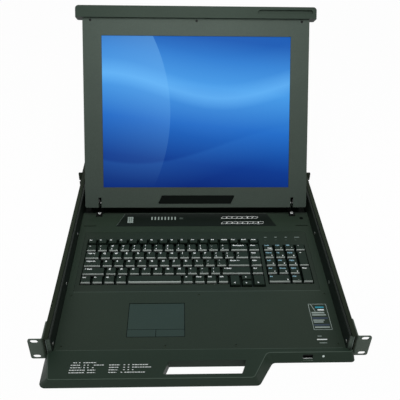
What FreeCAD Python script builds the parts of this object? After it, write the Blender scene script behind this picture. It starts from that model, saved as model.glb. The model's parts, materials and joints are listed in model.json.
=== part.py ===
import FreeCAD, Part
import math
import os

# A 1U console drawer for a 19-inch rack: display, keyboard and touchpad on a tray that slides
# out of two rails. Millimetres. The origin is the centre of the four front rack slots, on the
# front face of the ears. +X is to the user's right, +Y to the back of the rack, +Z up.
# The tray stands pushed in, and the display stands open.

Vector = FreeCAD.Vector
axis_x = Vector(1, 0, 0)
axis_y = Vector(0, 1, 0)
axis_z = Vector(0, 0, 1)

# --- Rack ears ---
ear_hole_span = 465.1           # slot to slot across the rack
ear_edge = 8.75                 # a slot's middle to the ear's outer edge
ear_hole_pitch = 31.75          # slot to slot up one unit
ear_height = 41.0
ear_sheet = 2.0
ear_bend = 3.5                  # outside radius of the front ear's bend
ear_corner = 3.5
ear_slot_length = 11.2
ear_slot_width = 7.2
ear_leg_length = 37.0

# --- Rails and slides ---
frame_height = 44.0             # one rack unit less its gap
rail_span = 440.0               # over both rails
rail_sheet = 1.5
rail_flange = 7.0
rail_length = 500.0
slide_space = 8.8               # from the rail's outer face to the tray wall
slide_gap = 0.3                 # between members that run in each other
slide_web_gap = 0.5
middle_sheet = 1.5
middle_start = 8.0
middle_length = 462.0
inner_sheet = 1.2
inner_start = 5.0
inner_end_gap = 5.0             # in front of the tray's rear wall
cap_sheet = 1.5                 # end plate over the mouth of each slide
cap_drop = 2.5                  # below the tray wall's top

# --- Rear brackets ---
bracket_sheet = 2.0
bracket_overlap = 91.0          # along the end of the rail
bracket_depth = 590.0           # rear ear face behind the front ear face
bracket_height = 42.0
bracket_tab = 9.0               # how far the front tab stands out
bracket_notch = 4.0
bracket_notch_depth = 2.0

# --- Tray ---
tray_sheet = 1.5
tray_lift = 1.3                 # tray bottom above the rail bottom
tray_wall_drop = 2.5            # tray wall top below the rail top
tray_front = 2.6
post_radius = 3.5               # six-sided standoffs, to their corners

# --- Deck ---
deck_sheet = 1.2
deck_height = 14.8              # deck top above the rail bottom
deck_side_gap = 0.5
deck_slit_length = 22.5
deck_slit_width = 1.8
deck_slit_inset = 39.0          # in front of the deck's rear edge
deck_slit_side = 5.4            # from the deck's side edge
deck_post_side = 10.0
deck_post_front = 7.0
deck_post_middle = 51.0
deck_post_rear = 109.0

# --- Front handle ---
handle_reach = 46.0             # top edge in front of the ears
handle_short_reach = 4.5        # the same on the right part
handle_side_slope = 5.0         # bottom edge outside the top edge, at the rails
handle_front_slope = 2.7
handle_short_slope = 7.0
handle_taper = 8.5              # top edge narrows by this towards the front left corner
handle_half_width = 222.5       # bottom edge, left
handle_right_trim = 0.5
handle_bend_top = 71.5          # where the front turns back, at the top
handle_bend_bottom = 80.0
handle_bend_width = 22.5        # how far right the slope runs
handle_bend_radius = 8.0
handle_corner_radius = 9.0
handle_corner_change = 4.0      # smaller by this at the top
handle_right_corner = 6.0
handle_lift = 0.3               # moulding above the rail bottom
handle_rear_gap = 0.6           # in front of ears and rails
handle_edge = 1.2               # chamfer of the top edge
hand_slot_rear = 16.4
hand_slot_depth = 22.2
hand_slot_left = -45.0          # at the rear edge
hand_slot_width = 109.0
hand_slot_slant = 8.5           # the front edge lies this much to the left
hand_slot_corner = 1.5

# --- Socket and lamp in the handle ---
usb_centre = 152.9
usb_width = 14.6
usb_height = 7.0
usb_shell = 0.7
usb_drop = 6.8                  # centre below the deck top
usb_length = 14.0
usb_tongue = 1.9
usb_fit = 0.15
lamp_centre = 175.2
lamp_radius = 1.6
lamp_length = 6.0
lamp_drop = 5.8
lamp_fit = 0.05
lamp_proud = 0.4

# --- Keyboard ---
key_unit = 19.05
key_gap = 2.85
key_rise = 3.7                  # key tops above the deck
key_travel = 2.8
key_skirt = 2.8                 # key below the deck's top face
key_side_taper = 1.1
key_front_taper = 1.7
key_rear_taper = 0.7
key_post = 4.0
key_post_gap = 0.3
key_post_reach = 1.0            # post into the guide plate
key_post_pitch = 40.0           # a key this long or longer has a further post
key_window_gap = 1.3            # keys to the edge of their window
block_units = 15.75             # width of the main block
last_column_units = 1.09
tab_units = 1.375
caps_units = 1.63
shift_units = 2.05
number_keys = 13                # keys of one unit in this row
upper_keys = 12
home_keys = 11
lower_keys = 10
control_keys = 4                # on each side of the space key
arrow_units = 2                 # left of the last column
function_row_depth = 12.0
function_row_gap = 3.5
function_keys = 17
keyboard_front = 133.0
keyboard_shift = -1.65          # middle of the keyboard from the drawer's centre line
arrow_advance = 6.5             # arrow keys stand forward of their row
arrow_split = 2.0
pad_space = 7.6                 # main block to number pad
pad_pitch = 18.68
pad_units = 4
guide_plate_sheet = 1.2
keyboard_board_sheet = 1.2
frame_sheet = 3.0
frame_side_margin = 8.0
frame_front_margin = 10.0
frame_rear_margin = 21.0
frame_flange = 4.0
frame_corner = 3.0
frame_fit = 0.3

# --- Touchpad ---
touch_centre = -65.5
touch_width = 85.0
touch_front = 25.9
touch_depth = 65.5
touch_button_depth = 14.1
touch_sink = 0.5                # below the deck's top face
touch_base_sheet = 2.2
touch_flange = 5.0
touch_button_sheet = 1.4
touch_button_travel = 0.5
touch_fit = 0.3
touch_corner = 0.8

# --- Control strip ---
strip_sheet = 0.5
strip_rear_inset = 3.5
strip_depth = 37.0
strip_rear_half = 131.5
strip_front_half = 146.0
port_count = 8
port_lamp_pitch = 6.1
port_lamp_left = -81.7
port_lamp_width = 2.2
port_lamp_depth = 8.5
port_lamp_inset = 10.5          # behind the strip's rear edge
port_lamp_proud = 0.2

# --- Display ---
screen_width = 337.9
screen_height = 270.3
panel_side_gap = 7.7            # to the tray wall
bezel_bottom = 36.8
bezel_top = 30.0
panel_thickness = 20.0
panel_corner = 3.0
bezel_sheet = 3.0
shell_wall = 1.5
display_clearance = 8.2         # closed display above the deck
bar_span = 427.0
bar_height = 20.7
bar_proud = 7.0
bar_gap = 1.15                  # closed bar in front of the ears
bar_edge = 2.5
bar_rear_edge = 1.5
bar_corner = 6.0
recess_left = 105.5
recess_slant = 6.0              # its upper left corner lies this much further right
recess_right = 206.0
recess_height = 7.5
recess_offset = 7.5             # above the bar's lower edge
recess_depth = 5.0
screen_glass = 2.0
screen_overlap = 3.0            # glass behind the bezel
module_margin_side = 10.3
module_margin_end = 13.1
module_depth = 10.0
board_sheet = 1.6
display_board_width = 120.0
display_board_height = 70.0
display_chip_height = 1.6
strip_top = 22.4                # control panel below the screen's lower edge
osd_height = 15.0
osd_width = 133.0
osd_slant = 7.2
osd_sheet = 1.0
osd_proud = 0.2
bezel_post_inset = 14.0
bezel_post_low_inset = 8.0
bezel_post_top = 3.8
bezel_post_low = 7.6            # lower posts above the panel's lower edge

# --- Hinge ---
open_angle = 121.6
hinge_setback = 11.45           # axis from the panel's lower edge
hinge_depth = 15.9              # axis behind the screen side
hinge_offset = 175.5            # arm centre from the centre line
hinge_arm = 4.0
hinge_notch = 5.3
hinge_notch_length = 18.3
hinge_arm_radius = 4.3
hinge_pin_radius = 2.0
hinge_pin_fit = 0.05
hinge_lug = 7.0
hinge_lug_gap = 0.3
hinge_lug_radius = 3.9
hinge_foot = 21.0
hinge_foot_sheet = 2.0
hinge_tab = 7.5
hinge_tab_depth = 12.0
hinge_tab_sheet = 1.5
deck_to_hinge = 5.5             # deck rear edge in front of the axis

# --- Rear electronics ---
swing_gap = 1.9                 # display's lower corner to the rear cover
cover_length = 107.5
cover_sheet = 1.2
cover_side_gap = 9.7
cover_drop = 4.5                # cover top below the rail top
main_board_width = 290.0
main_board_depth = 92.0
main_board_lift = 5.0
main_board_left_gap = 6.0
board_parts = (                 # place as a share of the board's width, then width, depth, height
    (0.14, 14.0, 14.0, 2.0), (0.27, 14.0, 14.0, 2.0), (0.41, 20.0, 20.0, 2.4),
    (0.55, 28.0, 28.0, 9.0), (0.71, 14.0, 14.0, 2.0), (0.84, 22.0, 12.0, 8.0))
port_pitch = 34.0
port_first = 24.0               # first connector from the board's left edge
port_body_width = 30.8
port_body_height = 12.5
port_body_depth = 9.0
port_shell_width = 17.0
port_shell_height = 8.4
port_shell_slant = 1.4
port_shell_proud = 5.8
port_fit = 0.3
port_nut_inset = 3.2
port_nut_radius = 2.7
port_nut_length = 4.5
board_supply_gap = 13.6         # main board to power supply
supply_depth = 70.0
supply_height = 26.0
supply_side_gap = 4.0
supply_slots = 8
supply_slot_width = 2.4
supply_slot_inset = 10.0        # from the front and the rear of the case
supply_slot_depth = 1.0
inlet_width = 27.4
inlet_height = 19.8
inlet_depth = 16.0
inlet_wall = 2.0
inlet_flange = 3.0
inlet_flange_sheet = 2.0
inlet_pin_width = 4.0
inlet_pin_sheet = 2.0
inlet_pin_length = 10.0
inlet_pin_pitch = 7.0
inlet_pin_drop = 2.0            # outer pins below the centre, middle pin above it
inlet_chamfer = 4.0
inlet_height_offset = 20.0      # centre above the rail bottom

# --- Derived levels and places ---
floor_z = -frame_height / 2
top_z = frame_height / 2
rail_half = rail_span / 2
tray_half = rail_half - slide_space
tray_inner_half = tray_half - tray_sheet
tray_bottom = floor_z + tray_lift
tray_floor = tray_bottom + tray_sheet
tray_top = top_z - tray_wall_drop
deck_z = floor_z + deck_height
deck_under = deck_z - deck_sheet
deck_half = tray_inner_half - deck_side_gap
panel_half = tray_inner_half - panel_side_gap
panel_height = bezel_bottom + screen_height + bezel_top
hinge_y = panel_height - hinge_setback - bar_gap
face_z = deck_z + display_clearance
hinge_z = face_z + hinge_depth
panel_end_y = hinge_y + hinge_setback
deck_rear = hinge_y - deck_to_hinge
swing_radius = math.hypot(hinge_setback, hinge_depth)
cover_front = hinge_y + swing_radius + swing_gap
tray_rear = cover_front + cover_length + tray_sheet
middle_half_height = top_z - rail_sheet - slide_gap
middle_outer = rail_half - rail_sheet - slide_gap
inner_half_height = middle_half_height - middle_sheet - slide_gap
inner_outer = middle_outer - middle_sheet - slide_web_gap
guide_top = deck_z - key_skirt - key_travel - 0.2
block_width = block_units * key_unit
keyboard_width = block_width + pad_space + pad_units * pad_pitch - 2 * key_gap
keyboard_left = keyboard_shift - keyboard_width / 2
pad_left = keyboard_left + block_width - key_gap + pad_space
rows_rear = keyboard_front + 5 * key_unit - key_gap
keyboard_rear = rows_rear + function_row_gap + function_row_depth
frame_left = keyboard_left - frame_side_margin
frame_right = keyboard_left + keyboard_width + frame_side_margin
frame_front = keyboard_front - arrow_advance - frame_front_margin
frame_rear = keyboard_rear + frame_rear_margin


def box(x0, x1, y0, y1, z0, z1):
    return Part.makeBox(x1 - x0, y1 - y0, z1 - z0, Vector(x0, y0, z0))


def cylinder(x, y, z, radius, length, axis):
    return Part.makeCylinder(radius, length, Vector(x, y, z), axis)


def fused(shapes):
    result = shapes[0]
    for shape in shapes[1:]:
        result = result.fuse(shape)
    return result.removeSplitter()


def mirrored(shape):
    return shape.mirror(Vector(0, 0, 0), axis_x)


def outline(corners):
    """Closed wire through corners (x, y, z, radius), with an arc at each corner that has a radius."""
    edges = []
    count = len(corners)
    starts = []
    ends = []
    middles = []
    for index in range(count):
        x, y, z, radius = corners[index]
        here = Vector(x, y, z)
        before = Vector(*corners[index - 1][:3]) - here
        after = Vector(*corners[(index + 1) % count][:3]) - here
        before.normalize()
        after.normalize()
        if radius == 0:
            starts.append(here)
            ends.append(here)
            middles.append(None)
            continue
        half = before.getAngle(after) / 2
        reach = radius / math.tan(half)
        inward = before + after
        inward.normalize()
        starts.append(here + before * reach)
        ends.append(here + after * reach)
        middles.append(here + inward * (radius / math.sin(half) - radius))
    for index in range(count):
        if middles[index] is not None:
            edges.append(Part.Arc(starts[index], middles[index], ends[index]).toShape())
        edges.append(Part.makeLine(ends[index], starts[(index + 1) % count]))
    return Part.Wire(edges)


def prism(corners, direction):
    return Part.Face(outline(corners)).extrude(direction)


def rounded_box(x0, x1, y0, y1, z0, z1, radius):
    corners = [(x0, y0, z0, radius), (x1, y0, z0, radius), (x1, y1, z0, radius), (x0, y1, z0, radius)]
    return prism(corners, axis_z * (z1 - z0))


def hexagon(radius):
    """Corners of a six-sided outline, as two coordinates each."""
    turns = [math.radians(60 * index) for index in range(6)]
    return [(radius * math.cos(turn), radius * math.sin(turn)) for turn in turns]


def standoff(x, y, low, high):
    corners = [(x + across, y + along, low, 0) for across, along in hexagon(post_radius)]
    return prism(corners, axis_z * (high - low))


def ear_slots(y, sheet, side):
    """Cutters of one ear's two rack slots."""
    cutters = []
    radius = ear_slot_width / 2
    reach = ear_slot_length / 2 - radius
    middle = side * ear_hole_span / 2
    for z in (-ear_hole_pitch / 2, ear_hole_pitch / 2):
        cutter = box(middle - reach, middle + reach, y, y + sheet, z - radius, z + radius)
        for end in (middle - reach, middle + reach):
            cutter = cutter.fuse(cylinder(end, y, z, radius, sheet, axis_y))
        cutters.append(cutter)
    return cutters


def ear_plate(y, sheet):
    half = ear_height / 2
    outer = ear_hole_span / 2 + ear_edge
    corners = [(rail_half, y, -half, 0), (outer, y, -half, ear_corner), (outer, y, half, ear_corner),
               (rail_half, y, half, 0)]
    plate = prism(corners, axis_y * sheet)
    return plate.cut(fused(ear_slots(y, sheet, 1)))


def upright_edges(shape, x, y):
    return [edge for edge in shape.Edges
            if all(abs(vertex.X - x) < 0.001 and abs(vertex.Y - y) < 0.001 for vertex in edge.Vertexes)]


def front_ear():
    """Right L bracket: ear across the rack post, leg along the rail."""
    half = ear_height / 2
    leg = [(rail_half, 0, -half, 0), (rail_half, ear_leg_length, -half, 2 * ear_corner),
           (rail_half, ear_leg_length, half, 2 * ear_corner), (rail_half, 0, half, 0)]
    bracket = fused([ear_plate(0, ear_sheet), prism(leg, axis_x * ear_sheet)])
    bracket = bracket.makeFillet(ear_bend, upright_edges(bracket, rail_half, 0))
    inside = upright_edges(bracket, rail_half + ear_sheet, ear_sheet)
    return bracket.makeFillet(ear_bend - ear_sheet, inside)


def rail():
    """Right rail: a C channel that opens towards the tray."""
    inner = rail_half - rail_flange
    web = rail_half - rail_sheet
    channel = fused([
        box(web, rail_half, 0, rail_length, floor_z, top_z),
        box(inner, rail_half, 0, rail_length, top_z - rail_sheet, top_z),
        box(inner, rail_half, 0, rail_length, floor_z, floor_z + rail_sheet)])
    corners = [edge for edge in channel.Edges
               if abs(edge.Length - rail_length) < 0.001 and abs(edge.CenterOfMass.x - rail_half) < 0.001]
    return channel.makeFillet(rail_sheet * 0.8, corners)


def rear_bracket():
    """Right bracket along the end of the rail, with a notched tab in front and a rack ear behind."""
    half = bracket_height / 2
    start = rail_length - bracket_overlap
    leg = box(rail_half, rail_half + bracket_sheet, start, bracket_depth, -half, half)
    tab_edge = rail_half + bracket_tab
    tab = [(rail_half, start, -half, 0), (tab_edge, start, -half, ear_corner / 2),
           (tab_edge, start, half, ear_corner / 2), (rail_half, start, half, 0)]
    notch = box(tab_edge - bracket_notch_depth, tab_edge, start, start + bracket_sheet, 0, bracket_notch)
    tab_plate = prism(tab, axis_y * bracket_sheet).cut(notch)
    return fused([leg, tab_plate, ear_plate(bracket_depth - bracket_sheet, bracket_sheet)])


def slide_middle():
    inner = rail_half - rail_flange + slide_gap
    web = middle_outer - middle_sheet
    half = middle_half_height
    start = middle_start
    end = middle_start + middle_length
    return fused([
        box(web, middle_outer, start, end, -half, half),
        box(inner, middle_outer, start, end, half - middle_sheet, half),
        box(inner, middle_outer, start, end, -half, middle_sheet - half)])


def slide_inner():
    half = inner_half_height
    end = tray_rear - inner_end_gap
    return fused([
        box(tray_half, tray_half + inner_sheet, inner_start, end, -half, half),
        box(tray_half, inner_outer, inner_start, end, half - inner_sheet, half),
        box(tray_half, inner_outer, inner_start, end, -half, inner_sheet - half)])


def deck_post_places():
    side = deck_half - deck_post_side
    front = tray_front + deck_post_front
    return [(-side, front), (-deck_post_middle, front), (deck_post_middle, front), (side, front),
            (-side, deck_post_rear), (0.0, deck_post_rear), (side, deck_post_rear)]


def port_places():
    """Middle of each port connector across the rear wall."""
    left = main_board_left() + port_first
    return [left + index * port_pitch for index in range(port_count)]


def main_board_left():
    return cover_side_gap + cover_sheet - tray_inner_half + main_board_left_gap


def port_level():
    return tray_floor + main_board_lift + board_sheet + port_body_height / 2


def port_shell(y0, y1, grow):
    """D-shaped prism of a port's metal shell, larger by grow all round."""
    half = port_shell_width / 2 + grow
    low = half - port_shell_slant
    tall = port_shell_height / 2 + grow
    corners = [(-low, y0, -tall, 0), (low, y0, -tall, 0), (half, y0, tall, 0), (-half, y0, tall, 0)]
    return prism(corners, axis_y * (y1 - y0))


def supply_sides():
    """Left and right of the power supply, which fills the width that the main board leaves."""
    right = tray_inner_half - cover_side_gap - cover_sheet - supply_side_gap
    return main_board_left() + main_board_width + board_supply_gap, right


def inlet_centre():
    return sum(supply_sides()) / 2


def inlet_level():
    return floor_z + inlet_height_offset


def slide_cap():
    """Right end plate: covers the mouth of the slide at the drawer's front."""
    outer = rail_half - rail_sheet - slide_web_gap
    rear = inner_start - slide_gap
    return box(tray_half + slide_gap, outer, rear - cap_sheet, rear, tray_floor, tray_top - cap_drop)


def tray_pan():
    wall_low = tray_bottom
    pan = fused([
        box(-tray_half, tray_half, tray_front, tray_rear, wall_low, tray_floor),
        box(-tray_half, -tray_inner_half, tray_front, tray_rear, wall_low, tray_top),
        box(tray_inner_half, tray_half, tray_front, tray_rear, wall_low, tray_top),
        box(-tray_half, tray_half, tray_front, tray_front + tray_sheet, wall_low, deck_under),
        box(-tray_half, tray_half, tray_rear - tray_sheet, tray_rear, wall_low, top_z - cover_drop)])
    cutters = []
    for x in port_places():
        cutter = port_shell(tray_rear - tray_sheet, tray_rear, port_fit)
        cutter.translate(Vector(x, 0, port_level()))
        cutters.append(cutter)
    half_width = inlet_width / 2 + inlet_wall
    half_height = inlet_height / 2 + inlet_wall
    x, z = inlet_centre(), inlet_level()
    cutters.append(box(x - half_width, x + half_width, tray_rear - tray_sheet, tray_rear,
                       z - half_height, z + half_height))
    cutters.append(usb_room(tray_front, tray_front + tray_sheet))
    posts = [standoff(x, y, tray_floor, deck_under) for x, y in deck_post_places()]
    posts += [standoff(x, y, tray_floor, tray_floor + main_board_lift) for x, y in board_post_places()]
    return fused([pan.cut(cutters)] + posts)


def board_post_places():
    left = main_board_left() + 2 * post_radius
    right = main_board_left() + main_board_width - 2 * post_radius
    rear = tray_rear - tray_sheet - main_board_depth / 4
    front = tray_rear - tray_sheet - main_board_depth + 2 * post_radius
    return [(left, front), (right, front), (left, rear), (right, rear)]


def deck_cover():
    """Folded sheet over the tray, with the keyboard window, the touchpad window and two slits."""
    skirt = deck_under
    cover = fused([
        box(-deck_half, deck_half, tray_front, deck_rear, deck_under, deck_z),
        box(-deck_half, -deck_half + deck_sheet, tray_front + tray_sheet, deck_rear, tray_floor, skirt),
        box(deck_half - deck_sheet, deck_half, tray_front + tray_sheet, deck_rear, tray_floor, skirt),
        box(-deck_half, deck_half, deck_rear - deck_sheet, deck_rear, tray_floor, skirt)])
    fold = [edge for edge in cover.Edges
            if edge.Length > deck_half and abs(edge.CenterOfMass.y - deck_rear) < 0.001
            and abs(edge.CenterOfMass.z - deck_z) < 0.001]
    cover = cover.makeFillet(deck_sheet * 0.8, fold)
    cutters = [
        rounded_box(frame_left - frame_fit, frame_right + frame_fit, frame_front - frame_fit,
                    frame_rear + frame_fit, deck_under, deck_z, frame_corner),
        rounded_box(touch_centre - touch_width / 2 - touch_fit, touch_centre + touch_width / 2 + touch_fit,
                    touch_front - touch_fit, touch_front + touch_depth + touch_fit, deck_under, deck_z,
                    touch_corner)]
    slit_y = deck_rear - deck_slit_inset
    slit_x = deck_half - deck_slit_side - deck_slit_length
    slit = box(slit_x, slit_x + deck_slit_length, slit_y - deck_slit_width / 2, slit_y + deck_slit_width / 2,
               deck_under, deck_z)
    return cover.cut(cutters + [slit, mirrored(slit)])


def handle_corners(share):
    """Plan of the handle, from its bottom (share 0) to its top (share 1)."""
    low = 1 - share
    height = floor_z + handle_lift + share * (deck_z - floor_z - handle_lift)
    left_rear = handle_half_width - handle_side_slope * share
    left_front = left_rear - handle_taper * share
    right = handle_half_width - handle_right_trim - handle_side_slope * share * 0.6
    front = handle_reach + handle_front_slope * low
    short = handle_short_reach + handle_short_slope * low
    bend = handle_bend_top + (handle_bend_bottom - handle_bend_top) * low
    corner = handle_corner_radius - handle_corner_change * share
    return [(-left_rear, tray_front, height, 0), (-left_front, -front, height, corner),
            (bend, -front, height, handle_bend_radius),
            (bend + handle_bend_width, -short, height, handle_bend_radius),
            (right, -short, height, handle_right_corner), (right, tray_front, height, 0)]


def drawn_in(corners, distance, rise):
    """The outline moved in by a distance and up by rise; its last side keeps its line."""
    count = len(corners)
    lines = []
    for index in range(count):
        start = Vector(*corners[index][:3])
        along = Vector(*corners[(index + 1) % count][:3]) - start
        along.normalize()
        shift = 0.0 if index == count - 1 else distance
        lines.append((start + Vector(-along.y, along.x, 0) * shift, along))
    moved = []
    for index in range(count):
        point, along = lines[index - 1]
        other, across = lines[index]
        turn = along.x * across.y - along.y * across.x
        reach = ((other.x - point.x) * across.y - (other.y - point.y) * across.x) / turn
        place = point + along * reach
        radius = corners[index][3]
        if radius:
            radius -= math.copysign(distance, turn)
        moved.append((place.x, place.y, place.z + rise, radius))
    return moved


def hand_slot():
    front = -hand_slot_rear - hand_slot_depth
    left = hand_slot_left
    right = hand_slot_left + hand_slot_width
    corner = hand_slot_corner
    corners = [(left - hand_slot_slant, front, floor_z, corner),
               (right - hand_slot_slant, front, floor_z, corner),
               (right, -hand_slot_rear, floor_z, corner), (left, -hand_slot_rear, floor_z, corner)]
    return prism(corners, axis_z * deck_height)


def short_face(z):
    """Front of the handle's right part at height z."""
    share = (deck_z - z) / (deck_z - floor_z - handle_lift)
    return -handle_short_reach - handle_short_slope * share


def front_handle():
    """Moulding across the front: sloped faces, S-bend, hand slot, socket and lamp holes."""
    edge_share = 1 - handle_edge / (deck_z - floor_z - handle_lift)
    edge = handle_corners(edge_share)
    lower = Part.makeLoft([outline(handle_corners(0)), outline(edge)], True, True)
    upper = Part.makeLoft([outline(edge), outline(drawn_in(edge, handle_edge, handle_edge))], True, True)
    body = lower.fuse(upper)
    reach = handle_half_width + 1.0
    shoulder = tray_half + slide_gap
    cutters = [hand_slot()]
    for side in (-1, 1):
        x0, x1 = sorted((side * shoulder, side * reach))
        cutters.append(box(x0, x1, -handle_rear_gap, tray_front, floor_z, deck_z))
    cutters.append(usb_room(short_face(floor_z) - 1.0, tray_front))
    z = deck_z - lamp_drop
    cutters.append(cylinder(lamp_centre, short_face(z) - 5.0, z, lamp_radius + lamp_fit,
                            5.0 + lamp_length, axis_y))
    return body.cut(cutters)


def usb_room(y0, y1):
    """Cutter for the socket's way through the handle and the tray's front wall."""
    half_width = usb_width / 2 + usb_fit
    half_height = usb_height / 2 + usb_fit
    z = deck_z - usb_drop
    return box(usb_centre - half_width, usb_centre + half_width, y0, y1, z - half_height, z + half_height)


def usb_front():
    return short_face(deck_z - usb_drop + usb_height / 2) - 0.3


def usb_socket():
    z = deck_z - usb_drop
    y = usb_front()
    shell = box(usb_centre - usb_width / 2, usb_centre + usb_width / 2, y, y + usb_length,
                z - usb_height / 2, z + usb_height / 2)
    hollow = box(usb_centre - usb_width / 2 + usb_shell, usb_centre + usb_width / 2 - usb_shell, y,
                 y + usb_length - 1.0, z - usb_height / 2 + usb_shell, z + usb_height / 2 - usb_shell)
    tongue = box(usb_centre - usb_width * 0.38, usb_centre + usb_width * 0.38, y + 1.0, y + usb_length,
                 z + usb_height / 2 - usb_shell - 0.4 - usb_tongue, z + usb_height / 2 - usb_shell - 0.4)
    return shell.cut(hollow).fuse(tongue).removeSplitter()


def front_lamp():
    z = deck_z - lamp_drop
    return cylinder(lamp_centre, short_face(z) - lamp_proud, z, lamp_radius, lamp_length, axis_y)


def key_cap(x0, x1, y0, y1):
    """Tapered key with guide posts. x and y bound its foot."""
    low = deck_z - key_skirt
    high = deck_z + key_rise
    cap = Part.makeWedge(x0, low, -y1, key_rear_taper - y1, x0 + key_side_taper,
                         x1, high, -y0, -y0 - key_front_taper, x1 - key_side_taper)
    cap.rotate(Vector(0, 0, 0), axis_x, 90)
    half = key_post / 2
    y = (y0 + y1) / 2
    posts = [box(x - half, x + half, y - half, y + half, guide_top - key_post_reach, low)
             for x in post_columns(x0, x1)]
    return fused([cap] + posts)


def post_columns(x0, x1):
    """Guide post places along a key: one in the middle, more under a long key."""
    count = 1 + int((x1 - x0) / key_post_pitch)
    step = (x1 - x0) / count
    return [x0 + step * (index + 0.5) for index in range(count)]


def row_y(row):
    """Front and rear of a key row; row 0 holds the space key."""
    front = keyboard_front + row * key_unit
    return front, front + key_unit - key_gap


def row_keys(row, widths):
    """Key outlines (x0, x1, y0, y1) of a row, from its widths in key units."""
    keys = []
    left = keyboard_left
    y0, y1 = row_y(row)
    for width in widths:
        keys.append((left, left + width * key_unit - key_gap, y0, y1))
        left += width * key_unit
    return keys


def filled(widths):
    """Widths of a row whose last two keys fill up the main block."""
    return widths + [block_units - last_column_units - sum(widths), last_column_units]


space_units = block_units - last_column_units - arrow_units - 2 * control_keys
number_widths = filled([1] * number_keys)
upper_widths = filled([tab_units] + [1] * upper_keys)
home_widths = filled([caps_units] + [1] * home_keys)
lower_widths = filled([shift_units] + [1] * lower_keys)
control_widths = [1] * control_keys + [space_units] + [1] * control_keys


def function_keys_row():
    pitch = block_width / function_keys
    y0 = rows_rear + function_row_gap
    row = []
    for index in range(function_keys):
        left = keyboard_left + index * pitch
        row.append((left, left + pitch - key_gap, y0, y0 + function_row_depth))
    return row


def arrow_keys():
    """Left, down, up and right arrows; up and down share one place."""
    left = keyboard_left + (block_units - last_column_units - arrow_units) * key_unit
    y0, y1 = row_y(0)
    y0 -= arrow_advance
    middle = (y0 + y1) / 2
    second = left + key_unit
    third = left + 2 * key_unit
    return [(left, second - key_gap, y0, y1), (second, third - key_gap, y0, middle - arrow_split / 2),
            (second, third - key_gap, middle + arrow_split / 2, y1),
            (third, third + last_column_units * key_unit - key_gap, y0, y1)]


def pad_key(column, row, columns=1, rows=1):
    left = pad_left + column * pad_pitch
    y0 = row_y(row)[0]
    y1 = row_y(row + rows - 1)[1]
    return left, left + columns * pad_pitch - key_gap, y0, y1


def number_pad_keys():
    keys = [pad_key(column, row) for row in (1, 2, 3) for column in range(3)]
    keys += [pad_key(column, 4) for column in range(4)]
    return keys + [pad_key(2, 0)]


key_groups = {
    "key_space": row_keys(0, control_widths)[4:5],
    "key_enter": row_keys(2, home_widths)[-2:-1],
    "key_backspace": row_keys(4, number_widths)[-2:-1],
    "key_shift_left": row_keys(1, lower_widths)[:1],
    "key_shift_right": row_keys(1, lower_widths)[-2:-1],
    "pad_key_plus": [pad_key(3, 2, rows=2)],
    "pad_key_enter": [pad_key(3, 0, rows=2)],
    "pad_key_zero": [pad_key(0, 0, columns=2)],
    "keys_function_row": function_keys_row(),
    "keys_number_row": row_keys(4, number_widths)[:-2] + row_keys(4, number_widths)[-1:],
    "keys_upper_row": row_keys(3, upper_widths),
    "keys_home_row": row_keys(2, home_widths)[:-2] + row_keys(2, home_widths)[-1:],
    "keys_lower_row": row_keys(1, lower_widths)[1:-2] + row_keys(1, lower_widths)[-1:],
    "keys_control_row": row_keys(0, control_widths)[:4] + row_keys(0, control_widths)[5:],
    "keys_arrows": arrow_keys(),
    "keys_number_pad": number_pad_keys(),
}


def key_node(name):
    return Part.makeCompound([key_cap(*key) for key in key_groups[name]])


def main_window(z0, z1):
    """Cutter of the main block's window, with its step round the arrow keys."""
    gap = key_window_gap
    left = keyboard_left - gap
    right = keyboard_left + block_width - key_gap + gap
    rear = keyboard_rear + gap
    step = arrow_keys()[0][0] - gap
    front = keyboard_front - gap
    arrow_front = front - arrow_advance
    corners = [(left, front, z0, 0), (step, front, z0, 0), (step, arrow_front, z0, 0),
               (right, arrow_front, z0, 0), (right, rear, z0, 0), (left, rear, z0, 0)]
    return prism(corners, axis_z * (z1 - z0))


def pad_window(z0, z1):
    gap = key_window_gap
    right = pad_left + pad_units * pad_pitch - key_gap + gap
    return box(pad_left - gap, right, keyboard_front - gap, rows_rear + gap, z0, z1)


def keyboard_frame():
    """Insert in the deck round the keys; a flange holds it under the deck sheet."""
    low = deck_z - frame_sheet
    plate = rounded_box(frame_left, frame_right, frame_front, frame_rear, low, deck_z,
                        frame_corner - frame_fit)
    flange = box(frame_left - frame_flange, frame_right + frame_flange, frame_front - frame_flange,
                 frame_rear + frame_flange, low, deck_under)
    return fused([plate, flange]).cut([main_window(low, deck_z), pad_window(low, deck_z)])


def key_guide_plate():
    """Sheet under the keys with a square hole for each guide post, folded down at its sides."""
    low = guide_top - guide_plate_sheet
    foot = tray_floor + keyboard_board_sheet
    left = keyboard_left - frame_side_margin / 2
    right = keyboard_left + keyboard_width + frame_side_margin / 2
    front = keyboard_front - arrow_advance - frame_side_margin / 2
    rear = keyboard_rear + frame_side_margin / 2
    sheet = guide_plate_sheet
    plate = fused([
        box(left, right, front, rear, low, guide_top),
        box(left, left + sheet, front, rear, foot, low),
        box(right - sheet, right, front, rear, foot, low),
        box(left, right, front, front + sheet, guide_top, deck_z - frame_sheet),
        box(left, right, rear - sheet, rear, guide_top, deck_z - frame_sheet)])
    half = key_post / 2 + key_post_gap
    holes = []
    for keys in key_groups.values():
        for x0, x1, y0, y1 in keys:
            y = (y0 + y1) / 2
            for x in post_columns(x0, x1):
                holes.append(box(x - half, x + half, y - half, y + half, low, guide_top))
    return plate.cut(Part.makeCompound(holes))


def keyboard_board():
    left = keyboard_left - frame_side_margin / 2
    right = keyboard_left + keyboard_width + frame_side_margin / 2
    front = keyboard_front - arrow_advance - frame_side_margin / 2
    rear = keyboard_rear + frame_side_margin / 2
    return box(left, right, front, rear, tray_floor, tray_floor + keyboard_board_sheet)


def touch_bounds():
    left = touch_centre - touch_width / 2
    return left, left + touch_width, touch_front, touch_front + touch_depth


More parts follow.
